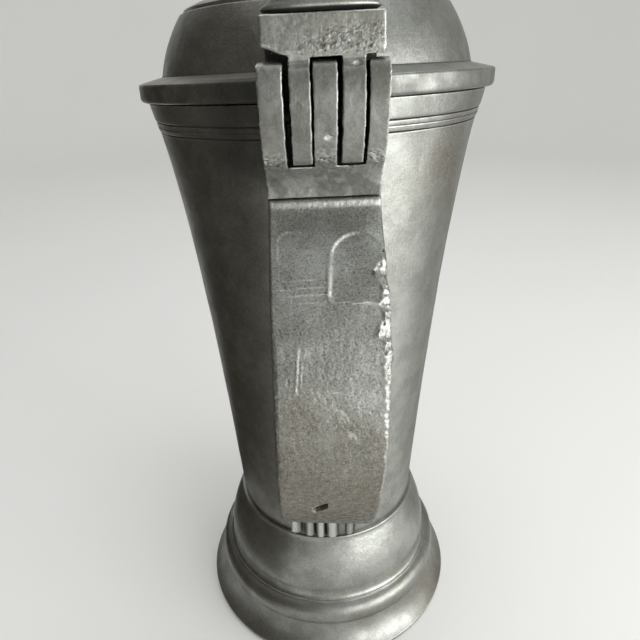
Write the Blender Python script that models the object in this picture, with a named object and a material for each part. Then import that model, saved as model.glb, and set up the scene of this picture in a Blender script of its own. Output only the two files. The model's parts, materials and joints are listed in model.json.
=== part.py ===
"""Lidded pewter stein: tapered drum, moulded foot, hollow strap handle and five-knuckle lid hinge."""

import math

import bmesh
import bpy
from mathutils import Vector

MM = 0.001

# General
SEAT_GAP = 0.3 * MM
ROUND_STEPS = 52
MERGE_DISTANCE = 0.00001
SHARP_ANGLE = 32.0
BEVEL_ANGLE = 40.0
FAR_BEHIND = 70.0 * MM

# Drum: the tapered tube that holds the drink
DRUM_BOTTOM = 45.0 * MM
DRUM_TOP = 189.2 * MM
DRUM_BOTTOM_RADIUS = 33.5 * MM
DRUM_WAIST_RADIUS = 39.15 * MM
DRUM_WAIST_HEIGHT = 147.7 * MM
DRUM_NECK_RADIUS = 45.85 * MM
DRUM_NECK_HEIGHT = 181.0 * MM
DRUM_COLLAR_RADIUS = 48.0 * MM
DRUM_WALL = 1.8 * MM
DRUM_RIM_DEPTH = 2.0 * MM
DRUM_MOUTH_WALL = 2.4 * MM
COLLAR_FLARE = 0.8
INCISED_LINES = (184.4 * MM, 183.0 * MM, 181.5 * MM)
INCISED_DEPTH = 0.35 * MM
INCISED_STEP = 0.15 * MM

# Bottom plate: the disc soldered into the lower end of the drum
PLATE_THICKNESS = 2.2 * MM
PLATE_RIM = 3.0 * MM
PLATE_DISH = 0.4 * MM

# Foot: dome, band and flared skirt, hollow underneath; points and the bends between them as (radius, height)
FOOT_TOP = DRUM_BOTTOM - SEAT_GAP
FOOT_RIM_RADIUS = 49.9 * MM
FOOT_RIM_HEIGHT = 2.0 * MM
FOOT_RIM_WIDTH = 4.5 * MM
FOOT_RIM_CHAMFER = 0.5 * MM
FOOT_SKIRT_BEND = (45.4 * MM, 5.4 * MM)
FOOT_GROOVE = (44.1 * MM, 11.8 * MM)
FOOT_BAND_UNDER_BEND = (44.9 * MM, 12.2 * MM)
FOOT_BAND_SIDE = (44.9 * MM, 14.2 * MM)
FOOT_BAND_BEND = (44.9 * MM, 18.4 * MM)
FOOT_BAND_TOP = (41.6 * MM, 19.5 * MM)
FOOT_LIP = (41.3 * MM, 20.4 * MM)
FOOT_COVE_BEND = (40.2 * MM, 21.0 * MM)
FOOT_DOME_BASE = (40.1 * MM, 23.8 * MM)
FOOT_DOME_BEND = (40.6 * MM, 29.4 * MM)
FOOT_DOME_TOP = (34.5 * MM, 42.7 * MM)
FOOT_BEAD_RADIUS = 0.8 * MM
FOOT_BEAD = (33.9 * MM, 43.9 * MM)
FOOT_LEDGE_RADIUS = 30.2 * MM
FOOT_WALL = 2.2 * MM
FOOT_HOLLOW_START = 8.0 * MM
FOOT_VAULT_BEND = 27.0 * MM
FOOT_VAULT_TOP = 40.5 * MM

# Lid: broad flange, steep dome, flat crown
FLANGE_RADIUS = 50.0 * MM
FLANGE_TOP = 194.0 * MM
FLANGE_BOTTOM = DRUM_TOP + SEAT_GAP
DOME_BASE = (43.5 * MM, 195.5 * MM)
DOME_BULGE = (41.9 * MM, 203.0 * MM)
DOME_SHOULDER = (37.0 * MM, 209.9 * MM)
CROWN_EDGE = (35.8 * MM, 210.9 * MM)
CROWN_RING = 13.0 * MM
CROWN_BEND = (27.0 * MM, 214.8 * MM)
CROWN_HEIGHT = 216.4 * MM
CROWN_FALL = 0.5 * MM
CROWN_GROOVE = 0.8 * MM
CEILING_BEND = (24.0 * MM, 212.2 * MM)
LID_WALL = 1.8 * MM
BEZEL_RADIUS = 44.3 * MM
BEZEL_DEPTH = 3.4 * MM
HINGE_FLAT = 48.2 * MM

# Lid hinge: distance behind the drum axis, height of the pin, and spans of the knuckles across the width
HINGE_REACH = 58.3 * MM
HINGE_HEIGHT = 187.5 * MM
HINGE_WIDTH = 24.8 * MM
HANDLE_KNUCKLES = ((-12.4 * MM, -7.7 * MM), (-2.0 * MM, 2.5 * MM), (8.6 * MM, 12.4 * MM))
LID_KNUCKLES = ((-6.4 * MM, -2.5 * MM), (3.5 * MM, 7.8 * MM))
KNUCKLE_RADIUS = 9.6 * MM
KNUCKLE_FRONT = 50.3 * MM
KNUCKLE_SHOULDER = (62.36 * MM, 196.2 * MM)
KNUCKLE_SHOULDER_BEND = (63.9 * MM, 195.4 * MM)
KNUCKLE_CREST = (64.0 * MM, 191.5 * MM)
KNUCKLE_BELLY = (63.6 * MM, 184.0 * MM)
KNUCKLE_ROOT = (58.8 * MM, 178.2 * MM)
PIN_RADIUS = 1.6 * MM
PIN_OVERHANG = 0.5 * MM
PIN_CHAMFER = 0.3 * MM
PIN_STEPS = 24

# Hinge block of the handle, below its knuckles
BLOCK_BOTTOM = 169.5 * MM
BLOCK_REAR = 54.0 * MM
BLOCK_PANEL_BEND = (54.6 * MM, 175.8 * MM)
BLOCK_FRONT = 38.0 * MM
SLOT_FLOOR = 177.2 * MM

# Lug of the lid, above its knuckles
LUG_WIDTH = 23.0 * MM
LUG_BOTTOM = 197.9 * MM
LUG_TOP = 204.6 * MM
LUG_REAR = 63.2 * MM
LUG_FRONT = 40.0 * MM
LUG_SEAT = 193.5 * MM
LUG_BEVEL = 0.9 * MM

# Handle: a flat hollow strap, its outer face given by three curves of (reach, height) points and bends
STRAP_TOP = BLOCK_BOTTOM - SEAT_GAP
STRAP_TOP_BENDS = ((54.0 * MM, 164.0 * MM), (75.0 * MM, 156.0 * MM))
STRAP_SHOULDER = (76.8 * MM, 131.0 * MM)
STRAP_SHOULDER_BENDS = ((78.6 * MM, 117.0 * MM), (77.0 * MM, 106.0 * MM))
STRAP_ELBOW = (70.2 * MM, 94.0 * MM)
STRAP_ELBOW_BENDS = ((65.6 * MM, 86.0 * MM), (56.0 * MM, 71.0 * MM))
STRAP_END = (33.0 * MM, 68.0 * MM)
STRAP_TAPER_START = 0.70
STRAP_SKEW_START = 0.30
STRAP_SKEW = -2.1 * MM
STRAP_HALF_WIDTH = 12.5 * MM
STRAP_END_HALF_WIDTH = 10.2 * MM
STRAP_THICKNESS = 6.6 * MM
STRAP_END_THICKNESS = 5.0 * MM
STRAP_EDGE = 0.8 * MM
STRAP_CROWN = 0.15 * MM
STRAP_WALL = 1.3 * MM
STRAP_STEPS = 14
CORE_FIRST = 2
CORE_SHORTER = 7
BELLY_STEPS = 8
BELLY_FULLNESS = 0.8
VENT_HEIGHT = 97.5 * MM
VENT_OFFSET = -2.4 * MM
VENT_SIZE = (3.4 * MM, 1.8 * MM)

# Terminal: the fluted pad that the lower end of the handle is soldered to
TERMINAL_BOTTOM = 46.8 * MM
TERMINAL_TOP = 74.5 * MM
TERMINAL_RADIUS = 36.0 * MM
TERMINAL_HALF_ANGLE = 19.0
TERMINAL_TURN = -3.5
TERMINAL_FLUTES = 5
FLUTE_DEPTH = 1.2 * MM
FLUTE_FULLNESS = 0.7
TERMINAL_SKIN = 0.5 * MM
TERMINAL_EDGE = 2.6 * MM
FLUTE_STEPS = 6

# Thumbpiece: height, half width, half depth and reach of each of its sections
THUMB_BOTTOM = LUG_TOP + SEAT_GAP
THUMB_REACH = 56.6 * MM
THUMB_SECTIONS = (
    (0.0 * MM, 11.2 * MM, 4.6 * MM, 0.0 * MM),
    (2.4 * MM, 9.4 * MM, 4.1 * MM, 0.2 * MM),
    (7.0 * MM, 4.6 * MM, 3.2 * MM, 0.4 * MM),
    (11.8 * MM, 4.6 * MM, 2.8 * MM, 1.0 * MM),
    (17.4 * MM, 8.2 * MM, 2.7 * MM, 2.6 * MM),
    (22.0 * MM, 10.2 * MM, 3.1 * MM, 4.6 * MM),
    (25.5 * MM, 8.6 * MM, 2.9 * MM, 6.0 * MM),
    (27.4 * MM, 4.6 * MM, 1.6 * MM, 6.6 * MM),
)
THUMB_ROUND_STEPS = 20
THUMB_SPAN_STEPS = 3
THUMB_SQUARENESS = 0.8

# Finishes: colour, roughness
BODY_PEWTER = ((0.30, 0.29, 0.275), 0.42)
CAST_PEWTER = ((0.27, 0.262, 0.25), 0.48)
PIN_IRON = ((0.16, 0.15, 0.145), 0.5)


def arc(centre, radius, start, end, steps):
    """Points along an arc; angles in degrees, 0 pointing outward and 90 pointing up."""
    points = []
    for step in range(steps + 1):
        angle = math.radians(start + (end - start) * step / steps)
        points.append((centre[0] + radius * math.cos(angle), centre[1] + radius * math.sin(angle)))
    return points


def bezier(controls, steps):
    """Points along the Bezier curve of the given control points."""
    curve = []
    for step in range(steps + 1):
        along = step / steps
        layer = list(controls)
        while len(layer) > 1:
            layer = [tuple(a + (b - a) * along for a, b in zip(p, q)) for p, q in zip(layer, layer[1:])]
        curve.append(layer[0])
    return curve


def joined(*runs):
    """One outline from several runs of points, without repeated points."""
    outline = []
    for run in runs:
        for point in run:
            if not outline or math.dist(point, outline[-1]) > MERGE_DISTANCE:
                outline.append(point)
    return outline


def behind(reach):
    """The y coordinate of a point at the given distance behind the drum axis."""
    return -reach


def finish_mesh(name, bm):
    """Turn a bmesh into a named object with smooth round surfaces and crisp edges."""
    bmesh.ops.remove_doubles(bm, verts=bm.verts, dist=MERGE_DISTANCE)
    bmesh.ops.recalc_face_normals(bm, faces=bm.faces)
    mesh = bpy.data.meshes.new(name)
    bm.to_mesh(mesh)
    bm.free()
    mesh.shade_smooth()
    mesh.set_sharp_from_angle(angle=math.radians(SHARP_ANGLE))
    part = bpy.data.objects.new(name, mesh)
    bpy.context.collection.objects.link(part)
    return part


def turned(name, outline, closed):
    """Revolve an outline of (radius, height) points about the vertical axis."""
    bm = bmesh.new()
    verts = [bm.verts.new((radius, 0.0, height)) for radius, height in outline]
    edges = [bm.edges.new(pair) for pair in zip(verts, verts[1:])]
    if closed:
        edges.append(bm.edges.new((verts[-1], verts[0])))
    bmesh.ops.spin(bm, geom=verts + edges, cent=(0, 0, 0), axis=(0, 0, 1), angle=math.tau, steps=ROUND_STEPS)
    return finish_mesh(name, bm)


def extruded(name, outline, left, right):
    """Extrude a side outline of (reach, height) points across the width from left to right."""
    bm = bmesh.new()
    verts = [bm.verts.new((left, behind(reach), height)) for reach, height in outline]
    face = bm.faces.new(verts)
    side = bmesh.ops.extrude_face_region(bm, geom=[face])
    moved = [item for item in side["geom"] if isinstance(item, bmesh.types.BMVert)]
    bmesh.ops.translate(bm, verts=moved, vec=(right - left, 0.0, 0.0))
    return finish_mesh(name, bm)


def lofted(name, rings):
    """Skin a row of closed rings, each a list of points, and cap both ends."""
    bm = bmesh.new()
    rows = [[bm.verts.new(point) for point in ring] for ring in rings]
    for row, above in zip(rows, rows[1:]):
        for index, vert in enumerate(row):
            after = (index + 1) % len(row)
            bm.faces.new((vert, row[after], above[after], above[index]))
    bm.faces.new(rows[0])
    bm.faces.new(rows[-1])
    return finish_mesh(name, bm)


def cylinder_across(name, radius, half_length, steps, middle):
    """A round bar lying along x through the given middle point."""
    rings = []
    for side in (-1, 1):
        ring = []
        for step in range(steps):
            angle = math.tau * step / steps
            offset = Vector((side * half_length, radius * math.cos(angle), radius * math.sin(angle)))
            ring.append(Vector(middle) + offset)
        rings.append(ring)
    return lofted(name, rings)


def cut(part, cutter):
    """Take the cutter's volume out of the part and keep the cutter as a hidden guide."""
    modifier = part.modifiers.new("cut_" + cutter.name, "BOOLEAN")
    modifier.operation = "DIFFERENCE"
    modifier.solver = "EXACT"
    modifier.object = cutter
    cutter.hide_render = True
    cutter.display_type = "WIRE"


def bevel(part, width):
    """Break the sharp edges of a part."""
    modifier = part.modifiers.new("broken_edges", "BEVEL")
    modifier.width = width
    modifier.segments = 2
    modifier.limit_method = "ANGLE"
    modifier.angle_limit = math.radians(BEVEL_ANGLE)


def give_finish(part, finish):
    """Give a part its own metal."""
    colour, roughness = finish
    metal = bpy.data.materials.new(part.name + "_metal")
    metal.use_nodes = True
    shader = metal.node_tree.nodes["Principled BSDF"]
    shader.inputs["Base Color"].default_value = (*colour, 1.0)
    shader.inputs["Metallic"].default_value = 1.0
    shader.inputs["Roughness"].default_value = roughness
    part.data.materials.append(metal)


def incised_line(radius, height):
    """Three points of a fine turned line cut into an upright wall."""
    upper = (radius, height + INCISED_DEPTH)
    lower = (radius - INCISED_STEP, height - INCISED_DEPTH)
    return [upper, (radius - INCISED_DEPTH, height), lower]


def drum_wall(inset, steps):
    """The tapered wall of the drum from neck to bottom, moved inward by the inset."""
    controls = (
        (DRUM_NECK_RADIUS - inset, DRUM_NECK_HEIGHT),
        (DRUM_WAIST_RADIUS - inset, DRUM_WAIST_HEIGHT),
        (DRUM_BOTTOM_RADIUS - inset, DRUM_BOTTOM),
    )
    return bezier(controls, steps)


def collar_radius(height):
    """Radius of the flaring collar between the neck and the rim."""
    along = (height - DRUM_NECK_HEIGHT) / (DRUM_TOP - DRUM_NECK_HEIGHT)
    return DRUM_NECK_RADIUS + (DRUM_COLLAR_RADIUS - DRUM_NECK_RADIUS) * along ** COLLAR_FLARE


def drum_outside():
    """Outer side of the drum from rim to bottom, with the three incised lines under the rim."""
    rim = [(DRUM_COLLAR_RADIUS, DRUM_TOP), (DRUM_COLLAR_RADIUS, DRUM_TOP - DRUM_RIM_DEPTH)]
    lines = [incised_line(collar_radius(height), height) for height in INCISED_LINES]
    return joined(rim, *lines, drum_wall(0.0, 9))


def make_drum():
    """Tapered tube, open at both ends."""
    inside = drum_wall(DRUM_WALL, 6)[::-1]
    mouth = [(DRUM_COLLAR_RADIUS - DRUM_MOUTH_WALL, DRUM_TOP)]
    return turned("drum", joined(drum_outside(), inside, mouth), closed=True)


def make_bottom_plate():
    """Slightly dished disc inside the lower end of the drum, resting on the foot."""
    radius = DRUM_BOTTOM_RADIUS - DRUM_WALL - SEAT_GAP
    top = DRUM_BOTTOM + PLATE_THICKNESS
    upper = [(0.0, top - PLATE_DISH), (radius - PLATE_RIM, top), (radius, top)]
    lower = [(radius, DRUM_BOTTOM), (0.0, DRUM_BOTTOM)]
    return turned("bottom_plate", upper + lower, closed=False)


def make_foot():
    """Spreading foot: a fine bead, a convex dome, a rounded band and a flared rim, hollow from below."""
    ledge = [(FOOT_LEDGE_RADIUS, FOOT_TOP), (FOOT_BEAD[0], FOOT_TOP)]
    bead = arc(FOOT_BEAD, FOOT_BEAD_RADIUS, 80, -60, 4)
    dome = bezier((FOOT_DOME_TOP, FOOT_DOME_BEND, FOOT_DOME_BASE), 5)
    cove = bezier((FOOT_DOME_BASE, FOOT_COVE_BEND, FOOT_LIP), 2)
    band = bezier((FOOT_BAND_TOP, FOOT_BAND_BEND, FOOT_BAND_SIDE), 5)
    band_under = bezier((FOOT_BAND_SIDE, FOOT_BAND_UNDER_BEND, FOOT_GROOVE), 2)
    rim_edge = (FOOT_RIM_RADIUS, FOOT_RIM_HEIGHT)
    skirt = bezier((FOOT_GROOVE, FOOT_SKIRT_BEND, rim_edge), 5)
    rim_outer = FOOT_RIM_RADIUS - FOOT_RIM_CHAMFER
    rim = [(rim_outer, 0.0), (rim_outer - FOOT_RIM_WIDTH, 0.0)]
    hollow_low = (FOOT_GROOVE[0] - FOOT_WALL, FOOT_HOLLOW_START)
    hollow_high = (FOOT_LIP[0] - FOOT_WALL, FOOT_LIP[1] - FOOT_WALL)
    vault_bend = (FOOT_DOME_BASE[0] - FOOT_WALL, FOOT_VAULT_BEND)
    vault = bezier((hollow_high, vault_bend, (FOOT_LEDGE_RADIUS, FOOT_VAULT_TOP)), 4)
    tiers = joined(dome, cove, band, band_under, skirt)
    outline = joined(ledge, bead, tiers, rim, [hollow_low], vault)
    return turned("foot", outline, closed=True)


def lid_outside(offset):
    """Outer side of the lid from the crown to the flange edge, raised by the offset."""
    ring_height = CROWN_HEIGHT - CROWN_FALL
    crown = [(0.0, CROWN_HEIGHT), (CROWN_RING - CROWN_GROOVE, ring_height + 0.3 * MM)]
    ring_groove = [(CROWN_RING, ring_height - 0.4 * MM), (CROWN_RING + CROWN_GROOVE, ring_height)]
    slope = bezier((ring_groove[-1], CROWN_BEND, CROWN_EDGE), 4)
    shoulder_groove = [(CROWN_EDGE[0] + 0.3 * MM, DOME_SHOULDER[1] - 0.2 * MM), DOME_SHOULDER]
    dome = bezier((DOME_SHOULDER, DOME_BULGE, DOME_BASE), 6)
    brim = [(FLANGE_RADIUS - 1.6 * MM, FLANGE_TOP + 0.3 * MM)]
    profile = joined(crown, ring_groove, slope, shoulder_groove, dome, brim)
    return [(radius + offset * (radius > 0.0), height + offset) for radius, height in profile]


def make_lid():
    """Domed lid: flange on the rim of the drum, bezel inside it, flat cut behind for the hinge."""
    edge = [
        (FLANGE_RADIUS - 0.3 * MM, FLANGE_TOP),
        (FLANGE_RADIUS, FLANGE_TOP - 0.5 * MM),
        (FLANGE_RADIUS - 0.1 * MM, FLANGE_BOTTOM + 1.0 * MM),
        (FLANGE_RADIUS - 0.7 * MM, FLANGE_BOTTOM),
    ]
    bezel_bottom = FLANGE_BOTTOM - BEZEL_DEPTH
    bezel = [
        (BEZEL_RADIUS, FLANGE_BOTTOM),
        (BEZEL_RADIUS, bezel_bottom),
        (BEZEL_RADIUS - LID_WALL, bezel_bottom),
    ]
    vault_start = (DOME_BASE[0] - LID_WALL, DOME_BASE[1] - 1.0 * MM)
    vault_bulge = (DOME_BULGE[0] - LID_WALL, DOME_BULGE[1] - LID_WALL)
    vault_end = (DOME_SHOULDER[0] - LID_WALL, DOME_SHOULDER[1] - LID_WALL)
    vault = bezier((vault_start, vault_bulge, vault_end), 4)
    ceiling = [CEILING_BEND, (0.0, CROWN_HEIGHT - LID_WALL - 0.6 * MM)]
    lid = turned("lid", joined(lid_outside(0.0), edge, bezel, vault, ceiling), closed=False)
    low = FLANGE_BOTTOM - 1.0 * MM
    high = DOME_BASE[1] + 1.0 * MM
    far = FLANGE_RADIUS + 3.0 * MM
    flat = [(HINGE_FLAT, low), (far, low), (far, high), (HINGE_FLAT, high)]
    half = HINGE_WIDTH / 2 + 2.0 * MM
    return lid, extruded("lid_hinge_flat", flat, -half, half)


def knuckle_back(lowest):
    """Rounded rear face shared by all five knuckles, from the given lowest point up to the crest."""
    rise = bezier((lowest, KNUCKLE_BELLY, KNUCKLE_CREST), 6)
    fall = bezier((KNUCKLE_CREST, KNUCKLE_SHOULDER_BEND, KNUCKLE_SHOULDER), 3)
    return joined(rise, fall)


def hinge_arc(radius, start, end, steps):
    """Arc about the hinge pin; 0 degrees points back from the drum, 90 up."""
    return arc((HINGE_REACH, HINGE_HEIGHT), radius, start, end, steps)


def make_hinge_block():
    """Upper end of the handle: a block on the drum, with three knuckles standing on it."""
    panel = bezier(((BLOCK_REAR, BLOCK_BOTTOM), BLOCK_PANEL_BEND, KNUCKLE_ROOT), 5)
    head = hinge_arc(KNUCKLE_RADIUS, 65, 145, 6)
    front = [(KNUCKLE_FRONT, SLOT_FLOOR + 1.0 * MM), (BLOCK_FRONT, SLOT_FLOOR), (BLOCK_FRONT, BLOCK_BOTTOM)]
    outline = joined(panel, knuckle_back(KNUCKLE_ROOT)[:-1], head, front)
    half = HINGE_WIDTH / 2
    block = extruded("handle_hinge_block", outline, -half, half)
    cutters = []
    high = HINGE_HEIGHT + 20.0 * MM
    near = BLOCK_FRONT - 2.0 * MM
    slot = [(near, SLOT_FLOOR), (FAR_BEHIND, SLOT_FLOOR), (FAR_BEHIND, high), (near, high)]
    for left, right in zip(HANDLE_KNUCKLES, HANDLE_KNUCKLES[1:]):
        cutters.append(extruded("knuckle_slot_guide", slot, left[1], right[0]))
    return block, cutters


def make_drum_guide():
    """The drum's outer form with seating clearance, to fit pieces that are soldered to it."""
    wall = [(radius + SEAT_GAP, height) for radius, height in drum_outside()]
    high = DRUM_TOP + 1.0 * MM
    low = DRUM_BOTTOM - 5.0 * MM
    top = [(0.0, high), (wall[0][0], high)]
    bottom = [(wall[-1][0], low), (0.0, low)]
    return turned("drum_guide", joined(top, wall, bottom), closed=False)


def make_lug():
    """Lug soldered to the lid: a block with two knuckles hanging between those of the handle."""
    back = knuckle_back(hinge_arc(KNUCKLE_RADIUS, -85, -85, 1)[0])
    under = hinge_arc(KNUCKLE_RADIUS, -160, -85, 6)
    block = [
        (LUG_REAR, LUG_BOTTOM + 0.6 * MM),
        (LUG_REAR - 0.9 * MM, LUG_TOP),
        (LUG_FRONT, LUG_TOP),
        (LUG_FRONT, LUG_SEAT),
        (KNUCKLE_FRONT - 0.9 * MM, LUG_SEAT),
    ]
    half = LUG_WIDTH / 2
    lug = extruded("lid_hinge_lug", joined(under, back, block), -half, half)
    cutters = []
    edges = (-HINGE_WIDTH, *LID_KNUCKLES[0], *LID_KNUCKLES[1], HINGE_WIDTH)
    front = KNUCKLE_FRONT - 1.2 * MM
    low = HINGE_HEIGHT - 20.0 * MM
    for left, right in zip(edges[::2], edges[1::2]):
        space = [(front, low), (FAR_BEHIND, low), (FAR_BEHIND, LUG_BOTTOM), (front, LUG_BOTTOM)]
        cutters.append(extruded("lug_space_guide", space, left, right))
    return lug, cutters


def make_lid_guide():
    """The lid's outer form with seating clearance, to fit the lug against it."""
    wall = lid_outside(SEAT_GAP)
    far = FLANGE_RADIUS + 4.0 * MM
    rim = [(far, wall[-1][1]), (far, FLANGE_BOTTOM), (0.0, FLANGE_BOTTOM)]
    return turned("lid_guide", joined(wall, rim), closed=False)


def make_hinge_pin():
    """Plain pin through all five knuckles, its ends standing just proud."""
    half = HINGE_WIDTH / 2 + PIN_OVERHANG
    middle = (0.0, behind(HINGE_REACH), HINGE_HEIGHT)
    pin = cylinder_across("hinge_pin", PIN_RADIUS, half, PIN_STEPS, middle)
    bevel(pin, PIN_CHAMFER)
    bore = cylinder_across("hinge_bore_guide", PIN_RADIUS + SEAT_GAP, half + 5.0 * MM, PIN_STEPS, middle)
    return pin, bore


def strap_path():
    """Outer face of the strap seen from the side, from the hinge block down to the terminal."""
    sweep_out = ((BLOCK_REAR, STRAP_TOP), *STRAP_TOP_BENDS, STRAP_SHOULDER)
    sweep_down = (STRAP_SHOULDER, *STRAP_SHOULDER_BENDS, STRAP_ELBOW)
    sweep_in = (STRAP_ELBOW, *STRAP_ELBOW_BENDS, STRAP_END)
    return joined(*[bezier(controls, STRAP_STEPS) for controls in (sweep_out, sweep_down, sweep_in)])


def strap_section(half_width, thickness, inset):
    """Section of the strap as (across, depth): a flat outer face and a rounded inner side."""
    wide = half_width - inset
    deep = thickness - inset
    side = inset + STRAP_EDGE
    section = []
    for step in range(BELLY_STEPS + 1):
        angle = math.pi * step / BELLY_STEPS
        section.append((wide * math.cos(angle), side + (deep - side) * math.sin(angle) ** BELLY_FULLNESS))
    section.append((-wide + STRAP_EDGE, inset))
    section.append((0.0, inset - STRAP_CROWN))
    section.append((wide - STRAP_EDGE, inset))
    return section


def strap_rings(path, inset, first, last):
    """Rings of points along the strap between two path indices."""
    rings = []
    for index in range(first, last + 1):
        before = Vector(path[max(index - 1, 0)])
        after = Vector(path[min(index + 1, len(path) - 1)])
        along = (after - before).normalized()
        if index == 0:
            along = Vector((0.0, -1.0))
        inward = Vector((along.y, -along.x))
        share = index / (len(path) - 1)
        narrowing = max(0.0, share - STRAP_TAPER_START) / (1.0 - STRAP_TAPER_START)
        skew = STRAP_SKEW * max(0.0, share - STRAP_SKEW_START) / (1.0 - STRAP_SKEW_START)
        half_width = STRAP_HALF_WIDTH + (STRAP_END_HALF_WIDTH - STRAP_HALF_WIDTH) * narrowing
        thickness = STRAP_THICKNESS + (STRAP_END_THICKNESS - STRAP_THICKNESS) * narrowing
        ring = []
        for across, depth in strap_section(half_width, thickness, inset):
            place = Vector(path[index]) + inward * depth
            ring.append((across + skew, behind(place.x), place.y))
        rings.append(ring)
    return rings


def make_strap():
    """Hollow cast strap of the handle, with the vent that the core left in its lower bend."""
    path = strap_path()
    strap = lofted("handle_strap", strap_rings(path, 0.0, 0, len(path) - 1))
    core = lofted("strap_core_guide", strap_rings(path, STRAP_WALL, CORE_FIRST, len(path) - CORE_SHORTER))
    vent_index = min(range(len(path)), key=lambda index: abs(path[index][1] - VENT_HEIGHT))
    reach, height = path[vent_index]
    half_wide = VENT_SIZE[0] / 2
    half_tall = VENT_SIZE[1] / 2
    deep = STRAP_WALL + 1.0 * MM
    slot = [
        (reach - deep, height + half_tall),
        (reach + deep, height + half_tall),
        (reach + deep, height - half_tall),
        (reach - deep, height - half_tall),
    ]
    vent = extruded("strap_vent_guide", slot, VENT_OFFSET - half_wide, VENT_OFFSET + half_wide)
    low = TERMINAL_BOTTOM - 5.0 * MM
    high = TERMINAL_TOP + 8.0 * MM
    seat_radius = TERMINAL_RADIUS + FLUTE_DEPTH + SEAT_GAP
    seat = [(0.0, high), (seat_radius, high), (seat_radius, low), (0.0, low)]
    return strap, [core, vent, turned("strap_seat_guide", seat, closed=False)]


def drum_radius(height):
    """Outer radius of the drum at a height on its tapered wall."""
    wall = drum_wall(0.0, 48)
    for upper, lower in zip(wall, wall[1:]):
        if lower[1] <= height <= upper[1]:
            along = (height - lower[1]) / (upper[1] - lower[1])
            return lower[0] + (upper[0] - lower[0]) * along
    return DRUM_BOTTOM_RADIUS


def terminal_ring(height, fullness):
    """Closed ring of the terminal at one height; fullness 1 stands out to the full flutes."""
    inner = drum_radius(height) + SEAT_GAP
    steps = TERMINAL_FLUTES * FLUTE_STEPS
    outside = []
    inside = []
    for step in range(steps + 1):
        along = step / steps
        angle = math.radians(-90 + TERMINAL_TURN + TERMINAL_HALF_ANGLE * (2 * along - 1))
        flute = FLUTE_DEPTH * abs(math.sin(math.pi * TERMINAL_FLUTES * along)) ** FLUTE_FULLNESS
        skin = inner + TERMINAL_SKIN
        outer = skin + fullness * (TERMINAL_RADIUS - skin + flute)
        outside.append((outer * math.cos(angle), outer * math.sin(angle), height))
        inside.append((inner * math.cos(angle), inner * math.sin(angle), height))
    return outside + inside[::-1]


def make_terminal():
    """Fluted pad between the drum and the lower end of the handle."""
    levels = (
        (TERMINAL_BOTTOM, 0.1),
        (TERMINAL_BOTTOM + TERMINAL_EDGE / 2, 0.8),
        (TERMINAL_BOTTOM + TERMINAL_EDGE, 1.0),
        (TERMINAL_TOP - TERMINAL_EDGE, 1.0),
        (TERMINAL_TOP, 0.3),
    )
    return lofted("handle_terminal", [terminal_ring(height, fullness) for height, fullness in levels])


def thumb_ring(section):
    """Oval ring of the thumbpiece for one section."""
    height, half_width, half_depth, lean = section
    ring = []
    for step in range(THUMB_ROUND_STEPS):
        angle = math.tau * step / THUMB_ROUND_STEPS
        across = math.copysign(abs(math.cos(angle)) ** THUMB_SQUARENESS, math.cos(angle))
        deep = math.copysign(abs(math.sin(angle)) ** THUMB_SQUARENESS, math.sin(angle))
        middle = behind(THUMB_REACH + lean)
        ring.append((half_width * across, middle + half_depth * deep, THUMB_BOTTOM + height))
    return ring


def smooth_sections(sections, span_steps):
    """Catmull-Rom interpolation between the given sections."""
    smooth = []
    for index in range(len(sections) - 1):
        before = sections[max(index - 1, 0)]
        start = sections[index]
        end = sections[index + 1]
        after = sections[min(index + 2, len(sections) - 1)]
        for step in range(span_steps):
            t = step / span_steps
            weights = (
                -0.5 * t + t ** 2 - 0.5 * t ** 3,
                1 - 2.5 * t ** 2 + 1.5 * t ** 3,
                0.5 * t + 2 * t ** 2 - 1.5 * t ** 3,
                -0.5 * t ** 2 + 0.5 * t ** 3,
            )
            smooth.append(tuple(sum(w * v for w, v in zip(weights, values))
                                for values in zip(before, start, end, after)))
    smooth.append(sections[-1])
    return smooth


def make_thumbpiece():
    """Waisted thumb rest that stands on the lug and leans back over the hinge."""
    sections = smooth_sections(THUMB_SECTIONS, THUMB_SPAN_STEPS)
    return lofted("thumbpiece", [thumb_ring(section) for section in sections])


def empty(name, location):
    """Reference point that pieces hang on."""
    point = bpy.data.objects.new(name, None)
    point.location = location
    bpy.context.collection.objects.link(point)
    return point


def drum_axis_offset():
    """How far the drum axis stands in front of the origin, which is centred under the whole object."""
    handle_reach = max(reach for reach, height in strap_path()) + STRAP_CROWN
    return (handle_reach - FLANGE_RADIUS) / 2


def hang(part, point, offset):
    """Hang a part on a reference point, keeping the drum axis as its own reference."""
    part.parent = point
    part.location = offset


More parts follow.
